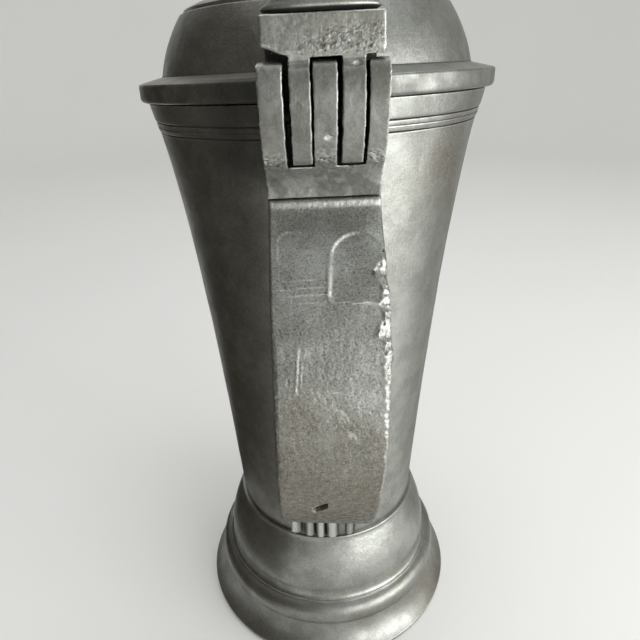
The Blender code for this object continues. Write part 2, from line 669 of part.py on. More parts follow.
def main():
    for old in list(bpy.data.objects):
        bpy.data.objects.remove(old, do_unlink=True)

    drum_y = drum_axis_offset()
    drum_axis = empty("drum_axis", (0.0, drum_y, 0.0))
    hinge_axis = empty("lid_hinge_axis", (0.0, drum_y + behind(HINGE_REACH), HINGE_HEIGHT))
    from_hinge = (0.0, -behind(HINGE_REACH), -HINGE_HEIGHT)

    drum = make_drum()
    bottom_plate = make_bottom_plate()
    foot = make_foot()
    terminal = make_terminal()
    drum_guide = make_drum_guide()
    hinge_block, slots = make_hinge_block()
    hinge_pin, bore = make_hinge_pin()
    strap, strap_cutters = make_strap()
    lid, hinge_flat = make_lid()
    lid_guide = make_lid_guide()
    lug, spaces = make_lug()
    thumbpiece = make_thumbpiece()

    for cutter in (*slots, drum_guide, bore):
        cut(hinge_block, cutter)
    for cutter in strap_cutters:
        cut(strap, cutter)
    cut(lid, hinge_flat)
    bevel(lug, LUG_BEVEL)
    for cutter in (*spaces, lid_guide, bore):
        cut(lug, cutter)

    fixed = (drum, bottom_plate, foot, hinge_block, strap, terminal, hinge_pin)
    moving = (lid, lug, thumbpiece)
    guides = (drum_guide, bore, *slots, *strap_cutters, hinge_flat, lid_guide, *spaces)
    for part in (*fixed, *guides):
        hang(part, drum_axis, (0.0, 0.0, 0.0))
    for part in moving:
        hang(part, hinge_axis, from_hinge)

    for part in (drum, bottom_plate, foot, lid):
        give_finish(part, BODY_PEWTER)
    for part in (hinge_block, strap, terminal, lug, thumbpiece):
        give_finish(part, CAST_PEWTER)
    give_finish(hinge_pin, PIN_IRON)
    bpy.context.view_layer.update()


main()
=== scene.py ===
"""Finished look of a lidded pewter stein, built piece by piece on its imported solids."""

import json
import math

import bmesh
import bpy
import numpy as np
from bpy.props import FloatProperty, FloatVectorProperty, IntProperty, PointerProperty
from bpy.types import Operator, Panel, PropertyGroup
from mathutils import Matrix, Vector, noise

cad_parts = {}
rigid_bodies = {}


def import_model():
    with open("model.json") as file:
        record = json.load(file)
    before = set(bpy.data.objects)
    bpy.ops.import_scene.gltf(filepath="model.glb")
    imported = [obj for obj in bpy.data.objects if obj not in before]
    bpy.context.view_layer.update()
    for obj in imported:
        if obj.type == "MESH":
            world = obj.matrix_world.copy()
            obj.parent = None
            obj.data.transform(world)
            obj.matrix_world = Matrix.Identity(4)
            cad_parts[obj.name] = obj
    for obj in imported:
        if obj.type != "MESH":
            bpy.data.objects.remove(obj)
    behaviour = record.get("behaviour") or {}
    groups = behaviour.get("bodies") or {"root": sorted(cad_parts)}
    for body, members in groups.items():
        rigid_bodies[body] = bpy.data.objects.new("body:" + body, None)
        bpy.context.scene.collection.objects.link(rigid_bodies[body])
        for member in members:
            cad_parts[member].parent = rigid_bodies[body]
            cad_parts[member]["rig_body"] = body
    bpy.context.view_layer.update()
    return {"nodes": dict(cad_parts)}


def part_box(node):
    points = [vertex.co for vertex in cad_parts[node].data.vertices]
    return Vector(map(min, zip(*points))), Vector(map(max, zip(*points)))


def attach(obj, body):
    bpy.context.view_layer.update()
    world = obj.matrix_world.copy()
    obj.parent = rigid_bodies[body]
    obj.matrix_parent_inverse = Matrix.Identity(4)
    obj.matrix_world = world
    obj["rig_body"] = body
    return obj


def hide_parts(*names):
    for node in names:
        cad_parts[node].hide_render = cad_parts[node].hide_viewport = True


bl_info = {
    "name": "Pewter Stein Finish",
    "version": (1, 0, 0),
    "blender": (4, 5, 0),
    "location": "View3D > Sidebar > Stein",
    "description": "Builds the finished pieces of a lidded pewter stein and its studio",
    "category": "Add Mesh",
}

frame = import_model()
DRUM_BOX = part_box("drum")
AXIS_Y = (DRUM_BOX[0].y + DRUM_BOX[1].y) / 2
MM = 0.001
SEAM = 0.3 * MM
WELD = 0.000002
LEAN = 0.022
LEAN_START, LEAN_END = 155.0 * MM, 182.0 * MM
TURNED_SHARP, CAST_SHARP = 50, 60
COARSE_STEPS = 96
WEAR_START = 0.15
HAIRLINE = 0.24 * MM


def length(name, text, millimetres):
    """A length that a user may change, given here in millimetres."""
    size = millimetres * MM
    return FloatProperty(name=name, description=text, default=size, unit="LENGTH", precision=5)


def share(name, text, value):
    """A share between nothing and all."""
    return FloatProperty(name=name, description=text, default=value, min=0.0, max=1.0, subtype="FACTOR")


def colour(name, text, value):
    """A colour that a user may change."""
    limits = {"min": 0.0, "max": 1.0}
    return FloatVectorProperty(name=name, description=text, default=value, subtype="COLOR", **limits)


def angle(name, text, degrees):
    """An angle that a user may change, given here in degrees."""
    return FloatProperty(name=name, description=text, default=math.radians(degrees), unit="ROTATION")


def power(name, text, watts):
    """The power of a lamp that a user may change."""
    return FloatProperty(name=name, description=text, default=watts, unit="POWER")


class DrumSizes(PropertyGroup):
    """Sizes of the tapered drum and its bottom plate."""

    bottom: length("Bottom", "Height of the lower end", 45.0)
    top: length("Top", "Height of the rim", 189.2)
    bottom_radius: length("Bottom radius", "Outer radius at the lower end", 33.5)
    waist_radius: length("Waist radius", "Radius of the bend of the wall", 39.15)
    waist_height: length("Waist height", "Height of the bend of the wall", 147.7)
    neck_radius: length("Neck radius", "Outer radius under the collar", 45.85)
    neck_height: length("Neck height", "Height where the collar starts", 181.0)
    collar_radius: length("Collar radius", "Outer radius of the rim", 48.0)
    wall: length("Wall", "Thickness of the wall", 1.8)
    line_depth: length("Line depth", "Depth of the turned lines under the rim", 0.36)
    plate_thickness: length("Plate thickness", "Thickness of the bottom plate", 2.2)


class FootSizes(PropertyGroup):
    """Sizes of the hollow foot."""

    rim_radius: length("Rim radius", "Outer radius on the table", 49.9)
    rim_width: length("Rim width", "Width of the ring that stands on the table", 4.5)
    bead_radius: length("Bead radius", "Radius of the bead at the drum", 0.6)
    wall: length("Wall", "Thickness of the wall", 2.2)


class LidSizes(PropertyGroup):
    """Sizes of the domed lid."""

    flange_radius: length("Flange radius", "Outer radius of the flange", 50.0)
    flange_top: length("Flange top", "Height of the upper face of the flange", 194.0)
    crown_height: length("Crown height", "Height of the middle of the lid", 216.4)
    crown_ring: length("Crown ring", "Radius of the turned ring on top", 13.0)
    wall: length("Wall", "Thickness of the wall", 1.8)
    bezel_radius: length("Bezel radius", "Outer radius of the bezel inside the drum", 44.3)
    bezel_depth: length("Bezel depth", "How far the bezel reaches into the drum", 3.4)
    hinge_flat: length("Hinge flat", "Distance of the flat behind the drum axis", 48.2)


class HingeSizes(PropertyGroup):
    """Sizes of the lid hinge."""

    reach: length("Reach", "Distance of the pin behind the drum axis", 58.3)
    height: length("Height", "Height of the pin", 187.5)
    width: length("Width", "Width over all five knuckles", 24.8)
    knuckle_radius: length("Knuckle radius", "Radius of the knuckle heads", 9.6)
    pin_radius: length("Pin radius", "Radius of the pin", 1.6)
    lug_width: length("Lug width", "Width of the block on the lid", 23.0)
    lug_bottom: length("Lug bottom", "Height of the underside of that block", 197.9)
    lug_top: length("Lug top", "Height of the top of that block", 204.6)
    lug_rear: length("Lug rear", "Distance of its rear face behind the drum axis", 63.2)
    softness: length("Softness", "Size of the steps that round the cast edges", 0.2)


class HandleSizes(PropertyGroup):
    """Sizes of the strap handle and its terminal."""

    top: length("Top", "Height of the upper end of the strap", 169.9)
    half_width: length("Half width", "Half the width of the strap", 12.5)
    end_half_width: length("End half width", "Half the width at the lower end", 10.2)
    skew: length("Skew", "How far the lower end stands to the side", -2.1)
    thickness: length("Thickness", "Thickness of the strap", 6.6)
    end_thickness: length("End thickness", "Thickness at the lower end", 5.0)
    corner: length("Corner", "Rounding of the long edges", 0.7)
    tear: length("Tear", "How far the torn edge eats into the strap", 1.5)
    terminal_radius: length("Terminal radius", "Distance of the pad's face from the drum axis", 36.0)
    flute_depth: length("Flute depth", "How far the lobes stand out of the pad", 1.2)


class MetalFinish(PropertyGroup):
    """Colours and surface of the metal."""

    # Also the colour of painted highlights on the strap, the terminal's lobes and the lug
    bright: colour("Bright", "Metal on rubbed edges", (0.65, 0.657, 0.622))
    turned: colour("Turned", "Metal of the turned pieces", (0.392, 0.398, 0.374))
    dull: colour("Dull", "Clouded metal of the turned pieces", (0.278, 0.283, 0.262))
    cast: colour("Cast", "Metal of the cast pieces", (0.402, 0.409, 0.386))
    cast_dull: colour("Cast dull", "Clouded metal of the cast pieces", (0.278, 0.283, 0.259))
    patina: colour("Patina", "Brownish film on the metal", (0.238, 0.212, 0.164))
    # Also the colour of painted shade in corners, between the knuckles, beside the hinge and in undercuts
    grime_and_shade: colour("Grime", "Dark oxide in the corners", (0.020, 0.018, 0.0155))
    iron: colour("Iron", "Metal of the pin", (0.17, 0.16, 0.15))
    roughness: share("Roughness", "Dullness of the turned pieces", 0.43)
    cast_roughness: share("Cast roughness", "Dullness of the cast pieces", 0.48)


class StudioSettings(PropertyGroup):
    """Camera, floor and light."""

    floor: colour("Floor", "Colour of the floor and backdrop", (0.925, 0.92, 0.905))
    card: colour("Card", "Colour of the dark card beside the stein", (0.048, 0.041, 0.033))
    rear_card: colour("Rear card", "Colour of the card behind on the left", (0.100, 0.088, 0.072))
    side_card: colour("Side card", "Colour of the grey card on the right", (0.42, 0.415, 0.40))
    sky: FloatProperty(name="Sky", description="Strength of the light from all round", default=0.6)
    key: power("Key", "Power of the large light on the right", 4.6)
    low: power("Low", "Power of the small light near the floor", 0.24)
    top: power("Top", "Power of the light overhead", 1.6)
    lens: FloatProperty(name="Lens", description="Focal length", default=29.25, unit="CAMERA")
    distance: length("Distance", "Camera to drum axis, along the floor", 168.3)
    eye_height: length("Eye height", "Height of the camera", 195.2)
    pitch: angle("Pitch", "How far the camera looks down", 25.63)
    roll: angle("Roll", "Turn of the picture", -1.6)
    yaw: angle("Yaw", "How far the camera looks to the side", -0.30)
    turn: angle("Turn", "Place of the camera round the drum", -1.25)


class SteinSettings(PropertyGroup):
    """Everything that can be changed about the stein."""

    drum: PointerProperty(type=DrumSizes)
    foot: PointerProperty(type=FootSizes)
    lid: PointerProperty(type=LidSizes)
    hinge: PointerProperty(type=HingeSizes)
    handle: PointerProperty(type=HandleSizes)
    metal: PointerProperty(type=MetalFinish)
    studio: PointerProperty(type=StudioSettings)
    steps_round: IntProperty(name="Steps round", description="Facets of turned pieces", default=240, min=24)


def bezier(controls, steps):
    """Points along the Bezier curve of the given control points."""
    curve = []
    for step in range(steps + 1):
        layer = [np.array(point, float) for point in controls]
        while len(layer) > 1:
            layer = [a + (b - a) * step / steps for a, b in zip(layer, layer[1:])]
        curve.append(layer[0])
    return curve


def arc(centre, radius, start, end, steps):
    """Points along an arc; angles in degrees, 0 pointing outward and 90 pointing up."""
    turns = np.radians(np.linspace(start, end, steps + 1))
    return [np.array(centre) + radius * np.array((math.cos(t), math.sin(t))) for t in turns]


def in_m(*points):
    """Points given in metres, as arrays."""
    return [np.array(point, float) for point in points]


def in_mm(*points):
    """Points given in millimetres, as arrays in metres."""
    return [np.array(point, float) * MM for point in points]


def joined(*runs):
    """One outline from several runs of points, without repeated points."""
    outline = []
    for run in runs:
        for point in run:
            if not outline or np.linalg.norm(point - outline[-1]) > 0.01 * MM:
                outline.append(np.array(point, float))
    return outline


def softened(outline, radius, closed):
    """Round the sharp corners of an outline with small curves."""
    soft = []
    count = len(outline)
    nearly_straight = math.cos(math.radians(16))
    for index, corner in enumerate(outline):
        before = outline[index - 1] - corner
        after = outline[(index + 1) % count] - corner
        sizes = np.linalg.norm(before), np.linalg.norm(after)
        is_end = not closed and index in (0, count - 1)
        if is_end or -before @ after / (sizes[0] * sizes[1]) > nearly_straight:
            soft.append(corner)
            continue
        back = min(radius, 0.45 * sizes[0], 0.45 * sizes[1])
        soft += bezier((corner + before / sizes[0] * back, corner, corner + after / sizes[1] * back), 4)
    return soft


def spaced(outline, step):
    """Divide the long stretches of an outline."""
    fine = [outline[0]]
    for start, end in zip(outline, outline[1:]):
        parts = max(1, math.ceil(np.linalg.norm(end - start) / step))
        fine += [start + (end - start) * part / parts for part in range(1, parts + 1)]
    return fine


def smoothstep(low, high, value):
    """Smooth rise from 0 at low to 1 at high."""
    t = np.clip((value - low) / (high - low), 0.0, 1.0)
    return t * t * (3.0 - 2.0 * t)


def noise_place(seed):
    """Place in the random pattern that belongs to a seed."""
    return Vector((seed * 7.31, seed * 3.17, seed * 5.71))


def cloud(points, size, seed, octaves=3):
    """Smooth random relief, about -1 to 1, with features of the given size."""
    shift = noise_place(seed)
    scale = 1.0 / size
    spots = (Vector(point) * scale + shift for point in points.tolist())
    return np.array([noise.fractal(spot, 1.0, 2.0, octaves) for spot in spots])


def flakes(points, size, seed):
    """Angular relief of torn metal, about -1 to 1: flat facets, each with its own level and tilt."""
    shift = noise_place(seed)
    relief = []
    for place in points.tolist():
        spot = Vector(place) / size + shift
        centre = noise.voronoi(spot)[1][0]
        tilt = noise.noise_vector(centre * 5.3)
        relief.append(noise.noise(centre * 3.7) + 1.6 * tilt.dot(spot - centre))
    return np.array(relief)


def new_piece(name, mesh):
    """Link a mesh to the scene as a piece at the origin."""
    piece = bpy.data.objects.new(name, mesh)
    bpy.context.scene.collection.objects.link(piece)
    return piece


def to_plain_mesh(piece):
    """Put the result of a piece's modifiers in its mesh."""
    graph = bpy.context.evaluated_depsgraph_get()
    mesh = bpy.data.meshes.new_from_object(piece.evaluated_get(graph))
    piece.modifiers.clear()
    old = piece.data
    piece.data = mesh
    bpy.data.meshes.remove(old)
    return piece


def close_and_orient(mesh):
    """Weld the seams of a closed mesh and point its faces outwards."""
    bm = bmesh.new()
    bm.from_mesh(mesh)
    bmesh.ops.remove_doubles(bm, verts=bm.verts, dist=WELD)
    bmesh.ops.dissolve_degenerate(bm, edges=bm.edges, dist=WELD)
    bmesh.ops.recalc_face_normals(bm, faces=bm.faces)
    bm.to_mesh(mesh)
    bm.free()
    mesh.update()


def read_mesh(mesh):
    """Vertex places, vertex normals and edges of a mesh as arrays."""
    places = np.empty(len(mesh.vertices) * 3)
    normals = np.empty(len(mesh.vertices) * 3)
    edges = np.empty(len(mesh.edges) * 2, np.int32)
    mesh.vertices.foreach_get("co", places)
    mesh.vertices.foreach_get("normal", normals)
    mesh.edges.foreach_get("vertices", edges)
    return places.reshape(-1, 3), normals.reshape(-1, 3), edges.reshape(-1, 2)


def places_of(mesh):
    """Vertex places of a mesh."""
    return read_mesh(mesh)[0]


def from_axis(places):
    """Places as distances in millimetres: to the right, back from the drum axis, and up."""
    return places[:, 0] / MM, (AXIS_Y - places[:, 1]) / MM, places[:, 2] / MM


def write_places(mesh, places):
    """Move the vertices of a mesh."""
    mesh.vertices.foreach_set("co", places.ravel())
    mesh.update()


def store(mesh, name, values):
    """Keep a value for each vertex on a mesh."""
    layer = mesh.attributes.new(name, "FLOAT", "POINT")
    layer.data.foreach_set("value", values.ravel().astype(np.float32))


def take(mesh, name):
    """Read a value of each vertex and remove it from the mesh."""
    layer = mesh.attributes[name]
    values = np.empty(len(mesh.vertices), np.float32)
    layer.data.foreach_get("value", values)
    mesh.attributes.remove(layer)
    return values


def neighbour_mean(values, edges):
    """Mean of each vertex's neighbours."""
    total = np.bincount(edges[:, 0], values[edges[:, 1]], len(values))
    total += np.bincount(edges[:, 1], values[edges[:, 0]], len(values))
    count = np.bincount(edges.ravel(), minlength=len(values))
    return total / np.maximum(count, 1)


def bend_of_surface(mesh, smoothing):
    """How sharply the surface bends at each vertex: above zero on edges, below zero in corners."""
    places, normals, edges = read_mesh(mesh)
    along = places[edges[:, 1]] - places[edges[:, 0]]
    squared = np.maximum((along ** 2).sum(1), 1e-12)
    bend_start = -2.0 * (along * normals[edges[:, 0]]).sum(1) / squared
    bend_end = 2.0 * (along * normals[edges[:, 1]]).sum(1) / squared
    bend = np.bincount(edges[:, 0], bend_start, len(places))
    bend += np.bincount(edges[:, 1], bend_end, len(places))
    bend /= np.maximum(np.bincount(edges.ravel(), minlength=len(places)), 1)
    for _ in range(smoothing):
        bend = 0.5 * bend + 0.5 * neighbour_mean(bend, edges)
    return bend


def mark_wear(mesh, full_edge, full_corner, smoothing, rubbed_and_lit=0.0, soiled_and_shaded=0.0):
    """Store for each vertex how bright it is from wear and painted highlights, and how dark from oxide and
    painted shade: edges count as worn, concave corners as dark where shade falls, and the given masks add
    to both.
    """
    bend = bend_of_surface(mesh, smoothing)
    uneven = np.clip(0.8 + 0.8 * cloud(places_of(mesh), 1.5 * MM, 61, 2), 0.2, 1.0)
    worn = np.maximum(smoothstep(WEAR_START, 1.0, bend / full_edge) * uneven, rubbed_and_lit)
    dark = np.maximum(smoothstep(WEAR_START, 1.0, -bend / full_corner), soiled_and_shaded)
    store(mesh, "exposed", worn * (1.0 - soiled_and_shaded))
    store(mesh, "sheltered", dark * (1.0 - rubbed_and_lit))


def smooth_shading(mesh, sharp_degrees):
    """Shade smooth with crisp edges where the faces turn sharply."""
    mesh.shade_smooth()
    mesh.set_sharp_from_angle(angle=math.radians(sharp_degrees))


def lean(mesh):
    """Let the upper part of the stein stand a little out of square, higher on the right."""
    places = places_of(mesh)
    places[:, 2] += LEAN * places[:, 0] * smoothstep(LEAN_START, LEAN_END, places[:, 2])
    write_places(mesh, places)


def finish_piece(piece, node, metal, sharp_degrees):
    """Put a finished piece in place of its solid, on the solid's body, in its own metal."""
    smooth_shading(piece.data, sharp_degrees)
    lean(piece.data)
    piece.data.materials.clear()
    piece.data.materials.append(metal)
    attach(piece, frame["nodes"][node]["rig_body"])
    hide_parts(node)


def add_node(tree, kind, inputs, **settings):
    """Add a node, set it up and feed its sockets with values or with other nodes' outputs."""
    made = tree.nodes.new(kind)
    for name, value in settings.items():
        setattr(made, name, value)
    for socket, value in inputs.items():
        if isinstance(value, bpy.types.NodeSocket):
            tree.links.new(value, made.inputs[socket])
        else:
            made.inputs[socket].default_value = value
    return made


def calculate(tree, operation, *values):
    """Output of a Math node."""
    return add_node(tree, "ShaderNodeMath", dict(enumerate(values)), operation=operation).outputs[0]


def lathe_tree():
    """Node tree that turns a row of (radius, 0, height) points about the drum axis."""
    tree = bpy.data.node_groups.new("turn_on_lathe", "GeometryNodeTree")
    socket = tree.interface.new_socket
    socket("Profile", in_out="INPUT", socket_type="NodeSocketGeometry")
    socket("Steps Round", in_out="INPUT", socket_type="NodeSocketInt")
    socket("Axis Offset", in_out="INPUT", socket_type="NodeSocketFloat")
    socket("Metal", in_out="INPUT", socket_type="NodeSocketMaterial")
    socket("Turned Piece", in_out="OUTPUT", socket_type="NodeSocketGeometry")
    given = tree.nodes.new("NodeGroupInput").outputs
    row_size = add_node(tree, "GeometryNodeAttributeDomainSize", {0: given["Profile"]})
    count = row_size.outputs["Point Count"]
    last = calculate(tree, "SUBTRACT", count, 1.0)
    across = calculate(tree, "ADD", given["Steps Round"], 1.0)
    sheet = add_node(tree, "GeometryNodeMeshGrid", {"Vertices X": across, "Vertices Y": count})
    place = add_node(tree, "GeometryNodeInputPosition", {}).outputs[0]
    split = add_node(tree, "ShaderNodeSeparateXYZ", {0: place}).outputs
    turn = calculate(tree, "MULTIPLY_ADD", split[0], math.tau, math.pi)
    row = calculate(tree, "MULTIPLY", calculate(tree, "ADD", split[1], 0.5), last)
    row = calculate(tree, "ROUND", row)
    sample = {"Geometry": given["Profile"], "Value": place, "Index": row}
    point = add_node(tree, "GeometryNodeSampleIndex", sample, data_type="FLOAT_VECTOR").outputs["Value"]
    outline = add_node(tree, "ShaderNodeSeparateXYZ", {0: point}).outputs
    east = calculate(tree, "MULTIPLY", outline[0], calculate(tree, "COSINE", turn))
    north = calculate(tree, "MULTIPLY", outline[0], calculate(tree, "SINE", turn))
    shifted = calculate(tree, "ADD", north, given["Axis Offset"])
    target = add_node(tree, "ShaderNodeCombineXYZ", {0: east, 1: shifted, 2: outline[2]}).outputs[0]
    piece = sheet.outputs["Mesh"]
    for kind, inputs in (
        ("GeometryNodeSetPosition", {"Position": target}),
        ("GeometryNodeMergeByDistance", {"Distance": WELD}),
        ("GeometryNodeRealizeInstances", {}),
        ("GeometryNodeSetMaterial", {"Material": given["Metal"]}),
    ):
        piece = add_node(tree, kind, {"Geometry": piece, **inputs}).outputs[0]
    tree.links.new(piece, tree.nodes.new("NodeGroupOutput").inputs[0])
    return tree


def input_name(tree, name):
    """Identifier of a node tree's input."""
    return next(item.identifier for item in tree.interface.items_tree if item.name == name)


def turned(name, outline, steps, metal):
    """A piece turned on the lathe from an outline of (radius, height) points."""
    mesh = bpy.data.meshes.new(name)
    mesh.from_pydata([(radius, 0.0, height) for radius, height in outline], [], [])
    piece = new_piece(name, mesh)
    tree = bpy.data.node_groups.get("turn_on_lathe") or lathe_tree()
    lathe = piece.modifiers.new("lathe", "NODES")
    lathe.node_group = tree
    lathe[input_name(tree, "Steps Round")] = steps
    lathe[input_name(tree, "Axis Offset")] = AXIS_Y
    lathe[input_name(tree, "Metal")] = metal
    to_plain_mesh(piece)
    close_and_orient(piece.data)
    return piece


def beat_out_of_true(mesh, depth, size, seed):
    """Give a turned piece the slight unevenness of long use."""
    places, normals, _ = read_mesh(mesh)
    write_places(mesh, places + normals * (cloud(places, size, seed) * depth)[:, None])


def closed_outline(outline):
    """Repeat the first point of an outline at its end."""
    return outline + [outline[0]]


def extruded(name, outline, left, right):
    """A side outline of (reach, height) points, extruded across the width."""
    bm = bmesh.new()
    verts = [bm.verts.new((left, AXIS_Y - reach, height)) for reach, height in outline]
    side = bmesh.ops.extrude_face_region(bm, geom=[bm.faces.new(verts)])
    moved = [item for item in side["geom"] if isinstance(item, bmesh.types.BMVert)]
    bmesh.ops.translate(bm, verts=moved, vec=(right - left, 0.0, 0.0))
    bmesh.ops.recalc_face_normals(bm, faces=bm.faces)
    mesh = bpy.data.meshes.new(name)
    bm.to_mesh(mesh)
    bm.free()
    return new_piece(name, mesh)


def cut(piece, cutter):
    """Take a cutter's volume out of a piece."""
    step = piece.modifiers.new("cut", "BOOLEAN")
    step.operation = "DIFFERENCE"
    step.solver = "EXACT"
    step.object = cutter


def remove(*pieces):
    """Delete helper pieces and their meshes."""
    for piece in pieces:
        mesh = piece.data
        bpy.data.objects.remove(piece)
        bpy.data.meshes.remove(mesh)


def cut_and_soften(piece, cutters, step):
    """Take cutters out of a casting, rebuild it in small even faces and melt its edges a little."""
    for cutter in cutters:
        cut(piece, cutter)
    skin = piece.modifiers.new("skin", "REMESH")
    skin.mode = "VOXEL"
    skin.voxel_size = step
    melt = piece.modifiers.new("melt", "SMOOTH")
    melt.factor = 0.5
    melt.iterations = 2
    to_plain_mesh(piece)
    remove(*cutters)


def skinned(name, rings, shine=None):
    """A piece that skins a row of closed rings of points, with closed ends; shine is for each point."""
    rows, columns, _ = rings.shape
    index = np.arange(rows * columns).reshape(rows, columns)
    after = np.roll(index, -1, axis=1)
    quads = np.stack([index[:-1], after[:-1], after[1:], index[1:]], -1).reshape(-1, 4).tolist()
    quads += [index[0][::-1].tolist(), index[-1].tolist()]
    mesh = bpy.data.meshes.new(name)
    mesh.from_pydata(rings.reshape(-1, 3).tolist(), [], quads)
    if shine is not None:
        store(mesh, "shine", shine)
    close_and_orient(mesh)
    return new_piece(name, mesh)


def metal_nodes(name):
    """A new metal with its shader and the place on the piece."""
    metal = bpy.data.materials.new(name)
    metal.use_nodes = True
    tree = metal.node_tree
    shader = tree.nodes["Principled BSDF"]
    shader.inputs["Metallic"].default_value = 1.0
    place = add_node(tree, "ShaderNodeTexCoord", {}).outputs["Object"]
    return metal, tree, shader, place


def blotches(tree, place, size, detail, roughness):
    """Cloudy pattern with features of the given size."""
    inputs = {"Vector": place, "Scale": 1.0 / size, "Detail": detail, "Roughness": roughness}
    return add_node(tree, "ShaderNodeTexNoise", inputs).outputs["Fac"]


def ramp(tree, value, low, high):
    """Smooth mask that rises from 0 at low to 1 at high."""
    inputs = {"Value": value, "From Min": low, "From Max": high}
    made = add_node(tree, "ShaderNodeMapRange", inputs, interpolation_type="SMOOTHSTEP")
    return made.outputs["Result"]


def part_of(tree, mask, strength):
    """A mask at part of its strength."""
    return calculate(tree, "MULTIPLY", mask, strength)


def blend_colour(tree, mask, first, second):
    """Mix of two colours by a mask."""
    made = add_node(tree, "ShaderNodeMix", {"Factor": mask}, data_type="RGBA")
    for socket, value in ((6, first), (7, second)):
        if isinstance(value, bpy.types.NodeSocket):
            tree.links.new(value, made.inputs[socket])
        else:
            made.inputs[socket].default_value = (*value, 1.0)
    return made.outputs[2]


def attribute(tree, name):
    """A value stored on the piece's vertices."""
    return add_node(tree, "ShaderNodeAttribute", {}, attribute_name=name).outputs["Fac"]


def lathe_marks(tree, place):
    """Fine rings left by the turning tool."""
    fineness, drift = 2600.0, 1.3
    split = add_node(tree, "ShaderNodeSeparateXYZ", {0: place}).outputs
    north = calculate(tree, "SUBTRACT", split[1], AXIS_Y)
    squares = calculate(tree, "MULTIPLY", north, north)
    squares = calculate(tree, "MULTIPLY_ADD", split[0], split[0], squares)
    coordinates = {
        0: calculate(tree, "MULTIPLY", calculate(tree, "SQRT", squares), fineness),
        1: calculate(tree, "MULTIPLY", calculate(tree, "ARCTAN2", split[0], north), drift),
        2: calculate(tree, "MULTIPLY", split[2], fineness),
    }
    rings = add_node(tree, "ShaderNodeCombineXYZ", coordinates).outputs[0]
    return blotches(tree, rings, 1.0, 2.0, 0.6)


def hairlines(tree, place, tilt, run):
    """Sparse fine scratches, about as long as the run, that lean by the tilt."""
    scale = 1.0 / HAIRLINE, 1.0 / HAIRLINE, 1.0 / run
    inputs = {"Vector": place, "Rotation": tilt, "Scale": scale}
    leaning = add_node(tree, "ShaderNodeMapping", inputs).outputs[0]
    return ramp(tree, blotches(tree, leaning, 1.0, 1.0, 0.5), 0.66, 0.74)


def pewter(name, fresh, clouded, finish, dullness, grain, turned_finish):
    """Old pewter: clouded grey with a brownish film, fine tooth, worn edges with painted highlights, and
    dark corners of oxide and painted shade.
    """
    metal, tree, shader, place = metal_nodes(name)
    cloudy = blotches(tree, place, 9 * MM, 6.0, 0.66)
    patches = blotches(tree, place, 30 * MM, 4.0, 0.55)
    fine = blotches(tree, place, 0.9 * MM, 3.0, 0.62)
    tooth = blotches(tree, place, 0.42 * MM, 3.0, 0.65)
    aged = calculate(tree, "MULTIPLY_ADD", attribute(tree, "tarnish"), 0.36, patches)
    long_marks = hairlines(tree, place, (0.1, 0.5, 0.2), 11 * MM)
    short_marks = hairlines(tree, place, (0.2, -0.9, 0.7), 8 * MM)
    marks = part_of(tree, calculate(tree, "MAXIMUM", long_marks, short_marks), 0.30)
    # Worn edges and painted highlights take the bright colour; oxide and painted shade in corners take the
    # dark colour
    rubbed_and_lit = part_of(tree, attribute(tree, "exposed"), ramp(tree, tooth, 0.20, 0.50))
    dirt_and_shade = part_of(tree, attribute(tree, "sheltered"), 0.95)
    body = blend_colour(tree, ramp(tree, cloudy, 0.34, 0.66), clouded, fresh)
    for mask, tint in (
        (part_of(tree, ramp(tree, aged, 0.50, 0.80), 0.72), finish.patina),
        (part_of(tree, ramp(tree, tooth, 0.50, 0.34), 0.40 * grain), finish.grime_and_shade),
        (part_of(tree, ramp(tree, tooth, 0.54, 0.72), 0.34 * grain), finish.bright),
        (part_of(tree, ramp(tree, fine, 0.66, 0.78), 0.45 * grain), finish.grime_and_shade),
        (marks, finish.bright),
        (part_of(tree, rubbed_and_lit, 0.9), finish.bright),
        (dirt_and_shade, finish.grime_and_shade),
    ):
        body = blend_colour(tree, mask, body, tint)
    tree.links.new(body, shader.inputs["Base Color"])
    rough = calculate(tree, "MULTIPLY_ADD", ramp(tree, cloudy, 0.3, 0.7), -0.08, dullness - 0.02)
    for mask, change in ((tooth, 0.12), (rubbed_and_lit, -0.10), (dirt_and_shade, 0.25)):
        rough = calculate(tree, "MULTIPLY_ADD", mask, change, rough)
    tree.links.new(rough, shader.inputs["Roughness"])
    tree.links.new(ramp(tree, dirt_and_shade, 0.93, 0.65), shader.inputs["Metallic"])
    shader.inputs["Specular IOR Level"].default_value = 0.06
    layers = [(tooth, 0.55 * grain), (marks, -0.5)]
    if turned_finish:
        layers.append((lathe_marks(tree, place), 0.30))
        layers.append((blotches(tree, place, 2.6 * MM, 2.0, 0.6), 1.6))
    relief = calculate(tree, "MULTIPLY", fine, 0.8 * grain)
    for mask, height in layers:
        relief = calculate(tree, "MULTIPLY_ADD", mask, height, relief)
    bump = {"Strength": 0.55, "Distance": 0.09 * MM, "Height": relief}
    tree.links.new(add_node(tree, "ShaderNodeBump", bump).outputs[0], shader.inputs["Normal"])
    return metal


def turned_pewter(name, finish, polish=0.0):
    """Metal of a turned piece, smoother by the polish."""
    return pewter(name, finish.turned, finish.dull, finish, finish.roughness - polish, 0.6, True)


def cast_pewter(name, finish, grain, polish=0.0):
    """Metal of a cast and filed piece, smoother by the polish."""
    dullness = finish.cast_roughness - polish
    return pewter(name, finish.cast, finish.cast_dull, finish, dullness, grain, False)


